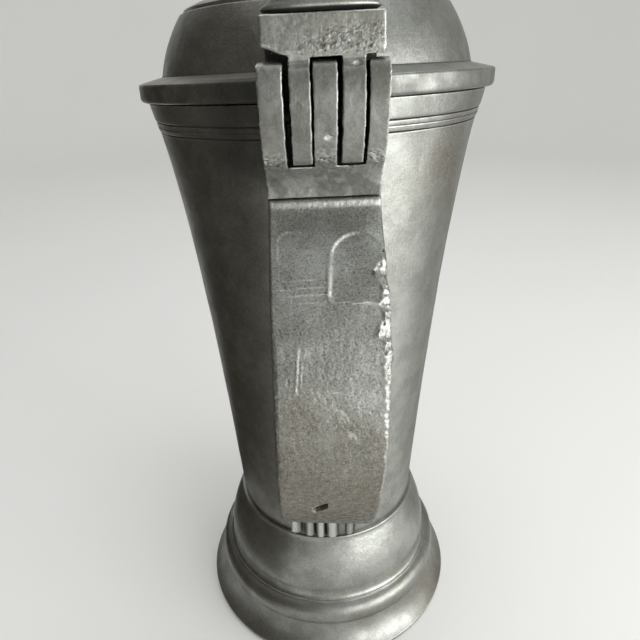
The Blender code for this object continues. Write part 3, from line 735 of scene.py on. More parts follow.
def pin_iron(name, finish):
    """Dark iron of the pin, worn bright on its ends, with oxide and painted shade in its corners."""
    metal, tree, shader, place = metal_nodes(name)
    fine = blotches(tree, place, 0.6 * MM, 4.0, 0.6)
    body = blend_colour(tree, ramp(tree, fine, 0.35, 0.7), finish.iron, finish.grime_and_shade)
    body = blend_colour(tree, attribute(tree, "exposed"), body, finish.bright)
    body = blend_colour(tree, attribute(tree, "sheltered"), body, finish.grime_and_shade)
    tree.links.new(body, shader.inputs["Base Color"])
    tree.links.new(calculate(tree, "MULTIPLY_ADD", fine, 0.25, 0.35), shader.inputs["Roughness"])
    bump = {"Strength": 0.4, "Distance": 0.05 * MM, "Height": fine}
    tree.links.new(add_node(tree, "ShaderNodeBump", bump).outputs[0], shader.inputs["Normal"])
    return metal


RIM_LOW = 185.0 * MM
# Height in mm and share of the full depth
TURNED_LINES = ((184.4, 1.0), (183.1, 0.3), (181.65, 1.0))


def drum_taper(sizes, inset, steps):
    """Wall of the drum from the neck to the bottom, moved inward by the inset."""
    neck = (sizes.neck_radius - inset, sizes.neck_height)
    waist = (sizes.waist_radius - inset, sizes.waist_height)
    bottom = (sizes.bottom_radius - inset, sizes.bottom)
    return bezier((neck, waist, bottom), steps)


def collar_radius(sizes, height):
    """Outer radius of the flaring collar."""
    along = (height - sizes.neck_height) / (sizes.top - sizes.neck_height)
    return sizes.neck_radius + (sizes.collar_radius - sizes.neck_radius) * along ** 0.8


def collar_line(sizes, height, deepness):
    """A fine turned line in the flaring collar."""
    radius = collar_radius(sizes, height)
    half, floor = 0.27 * MM, 0.06 * MM
    deep = radius - sizes.line_depth * deepness
    step = radius - 0.15 * MM * deepness
    upper = (radius, height + half), (deep, height + floor)
    return in_m(*upper, (deep, height - floor), (step, height - half))


def drum_outside(sizes):
    """Outer side of the drum from the rim to the bottom."""
    rim = in_m(*((collar_radius(sizes, level), level) for level in np.linspace(sizes.top, RIM_LOW, 8)))
    lines = [collar_line(sizes, height * MM, deepness) for height, deepness in TURNED_LINES]
    return joined(rim, *lines, drum_taper(sizes, 0.0, 48))


def make_drum(settings):
    """The tapered drum with its turned lines."""
    sizes = settings.drum
    inside = drum_taper(sizes, sizes.wall, 30)[::-1]
    mouth = in_m((sizes.collar_radius - 2.4 * MM, sizes.top))
    outline = softened(joined(drum_outside(sizes), inside, mouth), 0.25 * MM, True)
    metal = turned_pewter("drum_pewter", settings.metal)
    drum = turned("stein_drum", spaced(closed_outline(outline), 1.5 * MM), settings.steps_round, metal)
    beat_out_of_true(drum.data, 0.14 * MM, 26 * MM, 1)
    # Painted shadow of the hinge on the drum's collar
    mark_wear(drum.data, 1700.0, 2000.0, 1, 0.0, painted_hinge_shadow(drum.data, settings.hinge))
    finish_piece(drum, "drum", metal, TURNED_SHARP)


def make_bottom_plate(settings):
    """The slightly dished plate that closes the lower end of the drum."""
    sizes = settings.drum
    radius = sizes.bottom_radius - sizes.wall - SEAM
    top = sizes.bottom + sizes.plate_thickness
    upper = (0.0, top - 0.4 * MM), (radius - 3.0 * MM, top), (radius, top)
    outline = in_m(*upper, (radius, sizes.bottom), (0.0, sizes.bottom))
    outline = spaced(softened(outline, 0.3 * MM, False), 2.0 * MM)
    metal = turned_pewter("plate_pewter", settings.metal)
    plate = turned("stein_bottom_plate", outline, settings.steps_round // 2, metal)
    mark_wear(plate.data, 1500.0, 1100.0, 1)
    finish_piece(plate, "bottom_plate", metal, TURNED_SHARP)


def painted_hinge_shadow(mesh, hinge):
    """Painted shadow, 0 to 1: shade in the narrow space between the hinge and the drum, and the shadow the
    hinge casts on the collar and flange to its left.
    """
    right, back, up = from_axis(places_of(mesh))
    half = hinge.width / 2 / MM
    shelter = smoothstep(half, half - 1.5, np.abs(right))
    shelter *= smoothstep(41.0, 43.0, back) * smoothstep(170.0, 173.0, up)
    film = 0.72 * smoothstep(-33.0, -19.0, right) * smoothstep(166.0, 178.0, up)
    film *= (right < 0.0) & (back > 0.0)
    return np.maximum(shelter, film) * (up < 194.5)


def foot_outline(sizes, top):
    """Outline of the foot, from the ledge under the drum round to its hollow."""
    bead, dome_top, dome_bend = in_mm((34.1, 44.35), (34.85, 43.3), (40.6, 29.4))
    dome_base, cove_bend, lip = in_mm((40.1, 23.8), (40.2, 21.0), (41.3, 20.4))
    lip_tip, lip_drop = in_mm((41.55, 20.35), (41.5, 19.7))
    band = in_mm((41.8, 19.5), (44.9, 18.4), (44.9, 14.2), (44.9, 12.2), (44.1, 11.8))
    skirt_bend, vault_end = in_mm((45.4, 5.4), (30.2, 40.5))
    rim = sizes.rim_radius - 0.5 * MM
    rim_edge, hollow_low, vault_bend = in_m(
        (sizes.rim_radius, 2.0 * MM),
        (band[4][0] - sizes.wall, 8.0 * MM),
        (dome_base[0] - sizes.wall, 27.0 * MM),
    )
    return joined(
        in_m((vault_end[0], top), (bead[0] - 0.3 * MM, top)),
        arc(bead, sizes.bead_radius, 90, -15, 8),
        bezier((dome_top, dome_bend, dome_base), 30),
        bezier((dome_base, cove_bend, lip), 10),
        [lip_tip, lip_drop],
        bezier(band[:3], 14),
        bezier(band[2:], 8),
        bezier((band[4], skirt_bend, rim_edge), 18),
        in_m((rim, 0.0), (rim - sizes.rim_width, 0.0), hollow_low),
        bezier((lip - sizes.wall, vault_bend, vault_end), 16),
    )


def make_foot(settings):
    """The spreading foot with its bead, dome, rounded band and flared rim."""
    outline = foot_outline(settings.foot, settings.drum.bottom - 0.03 * MM)
    outline = spaced(closed_outline(softened(outline, 0.5 * MM, True)), 1.2 * MM)
    metal = turned_pewter("foot_pewter", settings.metal, 0.04)
    foot = turned("stein_foot", outline, settings.steps_round, metal)
    beat_out_of_true(foot.data, 0.10 * MM, 22 * MM, 2)
    _, _, up = from_axis(places_of(foot.data))
    mark_wear(foot.data, 2400.0, 6000.0, 1, 0.0, 0.14 * smoothstep(22.0, 17.0, up))
    finish_piece(foot, "foot", metal, TURNED_SHARP)


def lid_outside(sizes):
    """Outer side of the lid from the middle of the crown to the brim."""
    ring = sizes.crown_height - 0.5 * MM
    groove = 0.8 * MM
    slope_bend, edge, shoulder = in_mm((27.0, 214.8), (35.8, 210.9), (37.0, 209.9))
    bulge, base = in_mm((41.9, 203.0), (43.5, 195.5))
    crown = in_m(
        (0.0, sizes.crown_height),
        (sizes.crown_ring - groove, ring + 0.3 * MM),
        (sizes.crown_ring, ring - 0.4 * MM),
        (sizes.crown_ring + groove, ring),
    )
    slope = bezier((crown[-1], slope_bend, edge), 16)
    step = in_m((edge[0] + 0.3 * MM, shoulder[1] - 0.2 * MM))
    brim = in_m((sizes.flange_radius - 1.6 * MM, sizes.flange_top + 0.3 * MM))
    return joined(crown, slope, step, bezier((shoulder, bulge, base), 28), brim)


def lid_outline(sizes, rim):
    """Whole outline of the lid, round the flange and bezel to the inside of the crown."""
    radius, low = sizes.flange_radius, rim + SEAM
    inner, bezel_end = sizes.bezel_radius - sizes.wall, low - sizes.bezel_depth
    edge = in_m(
        (radius - 0.3 * MM, sizes.flange_top),
        (radius, sizes.flange_top - 0.5 * MM),
        (radius, low + 1.0 * MM),
        (radius - 0.12 * MM, low + 0.55 * MM),
        (radius - 0.38 * MM, low + 0.2 * MM),
        (radius - 0.8 * MM, low),
    )
    bezel = in_m((sizes.bezel_radius, low), (sizes.bezel_radius, bezel_end), (inner, bezel_end))
    start, bulge, end, slope = in_mm((41.7, 194.5), (40.1, 201.2), (35.2, 208.1), (24.0, 212.2))
    ceiling = in_m(slope, (0.0, sizes.crown_height - sizes.wall - 0.6 * MM))
    return joined(lid_outside(sizes), edge, bezel, bezier((start, bulge, end), 16), ceiling)


def make_lid(settings):
    """The domed lid, with the flat behind its flange where the hinge moves."""
    sizes = settings.lid
    outline = spaced(softened(lid_outline(sizes, settings.drum.top), 0.25 * MM, False), 1.2 * MM)
    metal = turned_pewter("lid_pewter", settings.metal)
    lid = turned("stein_lid", outline, settings.steps_round, metal)
    beat_out_of_true(lid.data, 0.08 * MM, 24 * MM, 3)
    places = places_of(lid.data)
    places[:, 1] = np.maximum(places[:, 1], AXIS_Y - sizes.hinge_flat)
    write_places(lid.data, places)
    radius = np.hypot(places[:, 0], places[:, 1] - AXIS_Y)
    stain = 0.34 * smoothstep(-0.5, 0.3, cloud(places, 4.0 * MM, 4, 4))
    stain *= radius > sizes.flange_radius - 0.3 * MM
    # Painted shadow of the hinge and lug on the lid's flange; the random stain is real
    soiled_and_shaded = np.maximum(stain, painted_hinge_shadow(lid.data, settings.hinge))
    mark_wear(lid.data, 1500.0, 1800.0, 1, 0.0, soiled_and_shaded)
    finish_piece(lid, "lid", metal, TURNED_SHARP)


HANDLE_KNUCKLES = in_mm((-12.4, -7.65), (-2.05, 2.55), (8.55, 12.4))
LID_KNUCKLES = in_mm((-6.45, -2.45), (3.45, 7.85))
BLOCK_SHOULDER = in_mm((63.95, 196.0), (62.4, 196.75))
LUG_SHOULDER = in_mm((63.9, 195.4), (62.36, 196.2))
BLOCK_LOW = 170.15 * MM
BLOCK_PLAY, LUG_PLAY = 0.25 * MM, 0.7 * MM
# How much lower the lug hangs on the left, between its knuckles and on the right
LUG_CHINS = 0.0, 0.6 * MM, 0.35 * MM
# Worn spots in mm: to the right, back from the drum axis, and up
BLOCK_CHIP = 0.75, 62.1, 183.5
LUG_CHIP = 6.25, 62.65, 196.0
LUG_SCRAPE = 10.4, 63.2, 199.0


def knuckle_back(lowest, bend, shoulder):
    """Rounded rear face of a knuckle, from the given lowest point up to its shoulder."""
    belly, crest = in_mm((63.6, 184.0), (64.0, 191.5))
    return joined(bezier((lowest, belly, crest), 16), bezier((crest, bend, shoulder), 8))


def hinge_arc(sizes, start, end, steps):
    """Arc of a knuckle head about the pin; 0 degrees points back from the drum, 90 up."""
    return arc((sizes.reach, sizes.height), sizes.knuckle_radius, start, end, steps)


def bore_cutter(sizes, play):
    """Round bar that clears the pin by the play."""
    ring = arc((sizes.reach, sizes.height), sizes.pin_radius + play, 0, 345, 23)
    return extruded("bore", ring, -sizes.width, sizes.width)


def drum_cutter(settings):
    """The drum's form with clearance, to seat what is soldered to it."""
    wall = [point + np.array((SEAM, 0.0)) for point in drum_outside(settings.drum)]
    high, low = settings.drum.top + 1.0 * MM, settings.drum.bottom - 5.0 * MM
    above = in_m((0.0, high), (wall[0][0], high))
    below = in_m((wall[-1][0], low), (0.0, low))
    return turned("drum_form", joined(above, wall, below), COARSE_STEPS, None)


def lid_cutter(settings):
    """The lid's form with clearance, to seat the lug."""
    wall = [point + SEAM * np.array((point[0] > 0.0, 1.0)) for point in lid_outside(settings.lid)]
    far, low = settings.lid.flange_radius + 4.0 * MM, settings.drum.top
    rim = in_m((far, wall[-1][1]), (far, low), (0.0, low))
    return turned("lid_form", joined(wall, rim), COARSE_STEPS, None)


def file_marks(places, seed):
    """Unevenness of hand filing: soft waves and a fine tooth."""
    return cloud(places, 5.0 * MM, seed) * 0.07 * MM + cloud(places, 1.2 * MM, seed + 1) * 0.035 * MM


def chip(places, centre, size):
    """Nearness, 0 to 1, to a small dent at a (x, reach, height) place given in millimetres."""
    middle = np.array((centre[0] * MM, AXIS_Y - centre[1] * MM, centre[2] * MM))
    gap = np.linalg.norm((places - middle) * (1.0, 1.0, 1.35), axis=1)
    gap *= 1.0 + 0.55 * cloud(places, 0.9 * MM, 17, 2)
    return smoothstep(1.15 * size * MM, 0.35 * size * MM, gap)


def ragged_sides(places, normals, seed):
    """Shift to the side, in metres, of knuckle sides that were sawn and filed by hand."""
    _, _, up = from_axis(places)
    side = smoothstep(0.35, 0.75, np.abs(normals[:, 0])) * (up < 197.0)
    waves = 0.11 * cloud(places, 1.9 * MM, seed, 2) + 0.07 * cloud(places, 0.7 * MM, seed + 1, 2)
    return side * waves * MM


def painted_gap_shade(places, normals, sizes):
    """Painted shade, 0 to 1, on the sides of the knuckles that face each other."""
    right, _, up = from_axis(places)
    half = sizes.width / 2 / MM
    between = smoothstep(half - 0.6, half - 1.2, np.abs(right)) * (up < 196.5)
    return smoothstep(0.86, 0.97, np.abs(normals[:, 0])) * between


def painted_knuckle_shade(places, normals):
    """Painted shade, 0 to 1, on the rear faces of the knuckles, in random streaks, heavier towards their
    tops.
    """
    _, _, up = from_axis(places)
    rear = smoothstep(0.80, 0.97, -normals[:, 1]) * smoothstep(179.0, 181.0, up) * (up < 197.0)
    streaks = cloud(places * (1.0, 1.0, 0.3), 2.0 * MM, 16)
    return rear * (0.31 + 0.08 * streaks + 0.10 * smoothstep(189.0, 194.0, up))


def make_hinge_block(settings):
    """The handle's block on the drum with its three knuckles, rough with solder at their roots."""
    sizes = settings.hinge
    root, rear, panel_bend = in_mm((58.8, 178.2), (54.0, 170.2), (54.6, 175.8))
    panel = bezier((rear, panel_bend, root), 14)
    head = hinge_arc(sizes, 76, 145, 18)
    front = in_mm((50.3, 178.2), (38.0, 177.2), (38.0, 170.2))
    outline = joined(panel, knuckle_back(root, *BLOCK_SHOULDER), head, front)
    block = extruded("stein_hinge_block", outline, -sizes.width / 2, sizes.width / 2)
    cutters = [drum_cutter(settings), bore_cutter(sizes, BLOCK_PLAY)]
    slot = in_mm((36.0, 177.2), (70.0, 177.2), (70.0, 207.5), (36.0, 207.5))
    for left, right in zip(HANDLE_KNUCKLES, HANDLE_KNUCKLES[1:]):
        cutters.append(extruded("slot", slot, left[1], right[0]))
    cut_and_soften(block, cutters, sizes.softness)
    places, normals, _ = read_mesh(block.data)
    _, _, up = from_axis(places)
    roots = np.exp(-((up - 178.6) / 1.9) ** 2) * smoothstep(-0.3, 0.3, -normals[:, 1])
    near = roots > 0.02
    crumbs = np.zeros(len(places))
    crumbs[near] = flakes(places[near], 0.8 * MM, 13)
    lumps = np.maximum(0.0, cloud(places, 2.1 * MM, 14))
    relief = file_marks(places, 11) + roots * (0.12 * crumbs + 0.16 * lumps) * MM
    relief -= chip(places, BLOCK_CHIP, 0.95) * 0.18 * MM
    places += normals * relief[:, None]
    places[:, 0] += ragged_sides(places, normals, 18)
    places[:, 2] = np.maximum(places[:, 2], BLOCK_LOW)
    write_places(block.data, places)
    _, _, up = from_axis(places)
    solder = 0.95 * roots * smoothstep(-0.30, 0.15, crumbs)
    rubbed_and_lit = np.maximum(chip(places, BLOCK_CHIP, 0.9), solder)
    stain = 0.42 * smoothstep(177.0, 174.5, up) * smoothstep(-0.15, 0.35, cloud(places, 5.0 * MM, 15))
    stain *= normals[:, 1] < -0.3
    # Painted shade between the knuckles and on their rear faces; the stain above is real
    grime_and_shade = painted_gap_shade(places, normals, sizes), painted_knuckle_shade(places, normals)
    soiled_and_shaded = np.maximum.reduce([stain, *grime_and_shade]) * (1.0 - 0.8 * rubbed_and_lit)
    mark_wear(block.data, 1450.0, 1700.0, 1, rubbed_and_lit, soiled_and_shaded)
    metal = cast_pewter("hinge_block_pewter", settings.metal, 0.5)
    finish_piece(block, "handle_hinge_block", metal, CAST_SHARP)


def lug_cutters(settings):
    """What is taken out of the lug: the lid, the bore and the spaces for the handle's knuckles."""
    sizes = settings.hinge
    cutters = [lid_cutter(settings), bore_cutter(sizes, LUG_PLAY)]
    near, far, low = 49.1 * MM, 70.0 * MM, 160.0 * MM
    slope_start, slope_end = 60.2 * MM, 63.2 * MM
    roof = sizes.lug_bottom
    edges = (-sizes.width, *LID_KNUCKLES[0], *LID_KNUCKLES[1], sizes.width)
    for left, right, chin in zip(edges[::2], edges[1::2], LUG_CHINS):
        rear = (far, low), (far, roof - chin), (slope_end, roof - chin)
        space = in_m((near, low), *rear, (slope_start, roof), (near, roof))
        cutters.append(extruded("space", space, left, right))
    return cutters


def make_lug(settings):
    """The lid's lug: a pitted block with two knuckles, raised under its left corner."""
    sizes = settings.hinge
    lowest = hinge_arc(sizes, -85, -85, 1)[0]
    front, base = 40.0 * MM, 193.5 * MM
    block = in_m(
        (sizes.lug_rear, sizes.lug_bottom + 0.6 * MM),
        (sizes.lug_rear - 0.9 * MM, sizes.lug_top),
        (front, sizes.lug_top),
        (front, base),
        (49.4 * MM, base),
    )
    outline = joined(hinge_arc(sizes, -160, -85, 16), knuckle_back(lowest, *LUG_SHOULDER), block)
    lug = extruded("stein_lid_lug", outline, -sizes.lug_width / 2, sizes.lug_width / 2)
    corners = lug.modifiers.new("corners", "BEVEL")
    corners.width = 0.9 * MM
    corners.segments = 3
    corners.limit_method = "ANGLE"
    corners.angle_limit = math.radians(40)
    cut_and_soften(lug, lug_cutters(settings), sizes.softness)
    places, normals, _ = read_mesh(lug.data)
    right, _, up = from_axis(places)
    lift = 1.5 * smoothstep(-6.6, -11.5, right) * smoothstep(200.6, 197.9, up) * (up > 196.9)
    places[:, 2] += lift * MM
    right, back, up = from_axis(places)
    weak = 0.30 + 0.70 * smoothstep(-6.0, 1.5, right - 0.7 * (up - 200.5))
    weak *= smoothstep(197.0, 198.6, up) * smoothstep(203.8, 201.2, up)
    weak *= smoothstep(0.2, 0.8, -normals[:, 1])
    grains = cloud(places, 0.48 * MM, 23, 2)
    pits = 0.14 * np.maximum(0.0, grains - 0.2) - 0.16 * np.maximum(0.0, -grains - 0.3)
    pits += 0.18 * np.maximum(0.0, cloud(places, 1.5 * MM, 24, 2) - 0.5)
    relief = file_marks(places, 21) - weak * pits * MM
    relief -= chip(places, LUG_CHIP, 0.8) * 0.16 * MM
    places[:, 0] += ragged_sides(places, normals, 28)
    write_places(lug.data, places + normals * relief[:, None])
    # Painted glints in the pitted face of the lug
    sparkle = weak * smoothstep(0.30, 0.52, cloud(places, 0.40 * MM, 26, 2))
    specks = 0.8 * weak * smoothstep(0.30, 0.52, cloud(places, 0.46 * MM, 27, 2))
    # Painted shade on the lug's lower part next to the lid
    deep = smoothstep(52.0, 50.6, back) * (up < 199.8)
    scrape = chip(places, LUG_SCRAPE, 1.3) * smoothstep(-0.2, 0.3, cloud(places, 0.7 * MM, 25, 2))
    rubbed_and_lit = np.maximum.reduce([chip(places, LUG_CHIP, 0.8), sparkle, 0.8 * scrape])
    # Painted shade between the knuckles and on their rear faces
    grime_and_shade = painted_gap_shade(places, normals, sizes), painted_knuckle_shade(places, normals)
    soiled_and_shaded = np.maximum.reduce([specks, deep, *grime_and_shade]) * (1.0 - 0.8 * rubbed_and_lit)
    mark_wear(lug.data, 1450.0, 1700.0, 1, rubbed_and_lit, soiled_and_shaded)
    metal = cast_pewter("lid_lug_pewter", settings.metal, 0.5)
    finish_piece(lug, "lid_hinge_lug", metal, CAST_SHARP)


def make_pin(settings):
    """The pin, its ends hammered into low domes."""
    sizes = settings.hinge
    radius = sizes.pin_radius
    half = sizes.width / 2 + 0.5 * MM
    dome = bezier(((0.0, half), (0.75 * radius, half), (radius, half - 0.45 * MM)), 8)
    outline = joined(dome, in_m(*((across, -along) for across, along in dome[::-1])))
    metal = pin_iron("pin_iron", settings.metal)
    pin = turned("stein_hinge_pin", spaced(outline, 0.8 * MM), 48, metal)
    standing = places_of(pin.data)
    back = AXIS_Y - sizes.reach + standing[:, 0]
    level = sizes.height + standing[:, 1] - AXIS_Y
    places = np.stack([standing[:, 2], back, level], -1)
    write_places(pin.data, places)
    close_and_orient(pin.data)
    hidden = smoothstep(sizes.width / 2, sizes.width / 2 - 0.5 * MM, np.abs(places[:, 0]))
    mark_wear(pin.data, 1500.0, 1100.0, 1, 0.0, hidden)
    finish_piece(pin, "hinge_pin", metal, TURNED_SHARP)


STRAP_STEP = 0.29 * MM
STRAP_BENDS = in_mm((54.0, 164.0), (75.0, 156.0), (78.6, 117.0), (77.0, 106.0), (65.6, 86.0), (56.0, 71.0))


def strap_path(sizes):
    """Outer face of the strap from the side, evenly spaced: places, directions and distances."""
    stops = in_mm((54.0, sizes.top / MM), (76.8, 131.0), (70.2, 94.0), (33.0, 68.0))
    runs = zip(stops, STRAP_BENDS[::2], STRAP_BENDS[1::2], stops[1:])
    rough = np.array(joined(*(bezier(run, 120) for run in runs)))
    travelled = np.concatenate([[0.0], np.cumsum(np.linalg.norm(np.diff(rough, axis=0), axis=1))])
    along = np.linspace(0.0, travelled[-1], int(travelled[-1] / STRAP_STEP))
    places = np.stack([np.interp(along, travelled, column) for column in rough.T], -1)
    direction = np.gradient(places, axis=0)
    direction[0] = (0.0, -1.0)
    direction /= np.linalg.norm(direction, axis=1)[:, None]
    return places, direction, along


def strap_section():
    """Section of a strap of unit half width and thickness: across, depth, and shares of the corner."""
    face = [(x, 0.0, 0.0, 0.0) for x in np.linspace(-1.0, 1.0, 105)]
    corner = [(1.0, 0.0, math.sin(t), 1.0 - math.cos(t)) for t in np.radians(np.linspace(15, 90, 6))]
    turns = np.linspace(0.0, math.pi, 33)[1:-1]
    belly = [(math.cos(t), math.sin(t) ** 0.8, math.cos(t), 1.0) for t in turns]
    mirrored = [(-across, depth, -shift, drop) for across, depth, shift, drop in corner[::-1]]
    return np.array(face + corner + belly + mirrored)


def tablet(across, along, left, right, top, bottom, corner):
    """Signed distance to a rounded tablet, negative inside."""
    beside = np.abs(across - (left + right) / 2) - (right - left) / 2 + corner
    beyond = np.abs(along - (top + bottom) / 2) - (bottom - top) / 2 + corner
    outside = np.hypot(np.maximum(beside, 0.0), np.maximum(beyond, 0.0))
    return outside + np.minimum(np.maximum(beside, beyond), 0.0) - corner


def scratch(across, along, start, end, width):
    """Nearness, 0 to 1, to a straight scratch."""
    run = end - start
    share_along = ((across - start[0]) * run[0] + (along - start[1]) * run[1]) / (run @ run)
    clipped = np.clip(share_along, 0.0, 1.0)
    gap = np.hypot(across - start[0] - clipped * run[0], along - start[1] - clipped * run[1])
    return np.exp(-(gap / width) ** 2)


# Start and end as (across, height), width and depth, all in mm
STRAP_SCRATCHES = (
    ((4.4, 166.6), (5.5, 165.2), 0.26, 0.16),
    ((1.3, 130.3), (2.3, 129.0), 0.40, 0.34),
    ((2.7, 128.4), (3.1, 126.9), 0.38, 0.30),
    ((3.6, 124.6), (4.3, 123.2), 0.40, 0.34),
    ((4.4, 122.9), (5.3, 121.6), 0.26, 0.16),
    ((0.4, 129.0), (0.9, 125.6), 0.22, 0.07),
    ((1.4, 152.1), (9.8, 151.5), 0.22, 0.20),
    ((-8.6, 155.6), (-3.2, 155.9), 0.22, 0.12),
    ((-10.6, 154.3), (-0.9, 154.6), 0.22, 0.17),
    ((-10.4, 153.2), (-0.8, 153.3), 0.22, 0.20),
    ((-7.6, 152.0), (-1.4, 151.9), 0.22, 0.14),
    ((-6.9, 134.7), (1.4, 134.4), 0.22, 0.16),
    ((6.6, 159.8), (5.4, 156.8), 0.18, 0.06),
    ((-6.0, 140.6), (1.0, 139.6), 0.16, 0.04),
    ((-3.0, 117.0), (-1.2, 113.2), 0.18, 0.06),
    ((6.2, 116.0), (6.8, 110.5), 0.18, 0.05),
)
BURR_SHIFT = np.array((0.36, 0.30)) * MM
# Height and width in mm, and strength
TEAR_BITES = ((157.0, 1.2, 1.0), (151.5, 1.6, 0.4), (146.2, 1.6, 1.1), (126.0, 2.5, 0.3))


def strap_relief(across, along, heights):
    """Depth and brightness of the strap's outer face: blank tablets, scratches, vent, lip and grain; the
    brightness is painted highlight on the tablets' walls, the scratch burrs, the vent's rim and the top
    lip.
    """

    def at(height):
        return np.interp(-height * MM, -heights, along[:, 0])

    spots = np.stack([across.ravel(), along.ravel(), np.zeros(across.size)], -1)

    def grain(size, seed, octaves=3):
        return cloud(spots, size, seed, octaves).reshape(across.shape)

    x = across / MM
    left = tablet(across, along, -10.5 * MM, -0.4 * MM, at(163.7), at(152.0), 2.4 * MM)
    upright = across - 0.09 * (at(151.9) - along)
    arch = tablet(upright, along, 0.1 * MM, 10.4 * MM, at(163.2), at(151.9), 5.1 * MM)
    base = tablet(upright, along, 0.1 * MM, 10.4 * MM, at(157.4), at(151.9), 1.5 * MM)
    leaning = across + 0.09 * (along - at(138.7))
    lower = tablet(leaning, along, -7.1 * MM, 4.2 * MM, at(143.4), at(134.0), 0.7 * MM)
    low_left = smoothstep(-3.0, -5.5, x) * smoothstep(at(141.5), at(139.5), along)
    grit = 0.75 + 0.8 * grain(0.6 * MM, 38, 2)
    high_left = smoothstep(at(158.0), at(162.5), along) * smoothstep(-4.0, -8.5, x)
    uneven = 0.75 + 0.5 * grain(2.6 * MM, 30)
    worn = grain(1.25 * MM, 31, 4)
    depth = np.zeros_like(across)
    shine = np.zeros_like(across)
    arch = np.minimum(arch, base)
    # gleam is a painted highlight along each tablet's wall
    for gap, deep, wall, gleam, fade in (
        (left, 0.13, 0.40, 0.15, 0.15 + 0.85 * high_left),
        (arch, 0.46, 0.80, 0.55 * smoothstep(2.6, 1.4, x), 0.12 + 0.88 * smoothstep(11.5, 4.0, x)),
        (lower, 0.08, 0.24, 0.06, 0.15 + 0.85 * smoothstep(2.5, -4.0, x)),
        (lower + 0.9 * MM, 0.03, 0.20, 0.0, 0.7 * low_left),
    ):
        press = smoothstep(0.5 * wall * MM, -0.5 * wall * MM, gap) * fade
        lip = np.exp(-((gap - (0.5 * wall + 0.12) * MM) / (0.26 * MM)) ** 2) * fade * uneven * grit
        centre = smoothstep(-0.5 * MM, -1.8 * MM, gap)
        depth += (deep * press - 0.11 * lip + 0.012 * centre * worn) * MM
        edge = np.exp(-(gap / (0.5 * wall * MM)) ** 2) * (0.6 + 0.6 * uneven) * grit
        shine = np.maximum(shine, gleam * fade * edge)
    for start, end, width, deep in STRAP_SCRATCHES:
        first, last = in_m((start[0] * MM, at(start[1])), (end[0] * MM, at(end[1])))
        depth += scratch(across, along, first, last, width * MM) * deep * uneven * MM
        burr = scratch(across, along, first + BURR_SHIFT, last + BURR_SHIFT, width * MM) * deep * uneven
        depth -= 0.75 * burr * MM
        # Painted glints on the raised burrs beside the scratches
        shine = np.maximum(shine, np.clip(12.0 * (burr - 0.07), 0.0, 1.0))
    slanted = along + (across + 3.2 * MM) * 0.75
    middle, half = at(97.9), 1.5 * MM
    vent = tablet(across, slanted, -4.8 * MM, -1.5 * MM, middle - half, middle + half, 0.7 * MM)
    depth += 4.2 * MM * smoothstep(0.14 * MM, -0.28 * MM, vent)
    rim = np.exp(-((vent - 0.35 * MM) / (0.3 * MM)) ** 2)
    depth -= 0.10 * MM * rim
    # Painted glint on the left of the vent's rim
    shine = np.maximum(shine, 0.9 * rim * smoothstep(-3.2, -4.6, x))
    coarse = smoothstep(152.0 * MM, 132.0 * MM, np.repeat(heights[:, None], across.shape[1], axis=1))
    depth += grain(1.1 * MM, 33, 4) * (0.018 + 0.022 * coarse) * MM
    depth += grain(0.55 * MM, 39, 2) * (0.006 + 0.030 * coarse) * MM
    depth += np.maximum(0.0, grain(0.9 * MM, 35, 2) - 0.42) * (0.10 + 0.22 * coarse) * MM
    depth += grain(7.0 * MM, 34) * 0.08 * MM
    roll = np.clip(1.0 - along / (0.8 * MM), 0.0, 1.0)
    swell = np.exp(-((along - 0.8 * MM) / (0.9 * MM)) ** 2)
    depth += (1.0 - np.sqrt(1.0 - roll ** 2)) * 0.6 * MM
    depth -= swell * (0.34 + 0.08 * grain(0.9 * MM, 36)) * MM
    # Painted highlight on the rounded top lip of the strap
    lip = smoothstep(2.4 * MM, 1.4 * MM, along) * (0.75 + 0.5 * grain(0.7 * MM, 37, 2))
    return depth, np.clip(np.maximum(shine, lip), 0.0, 1.0)


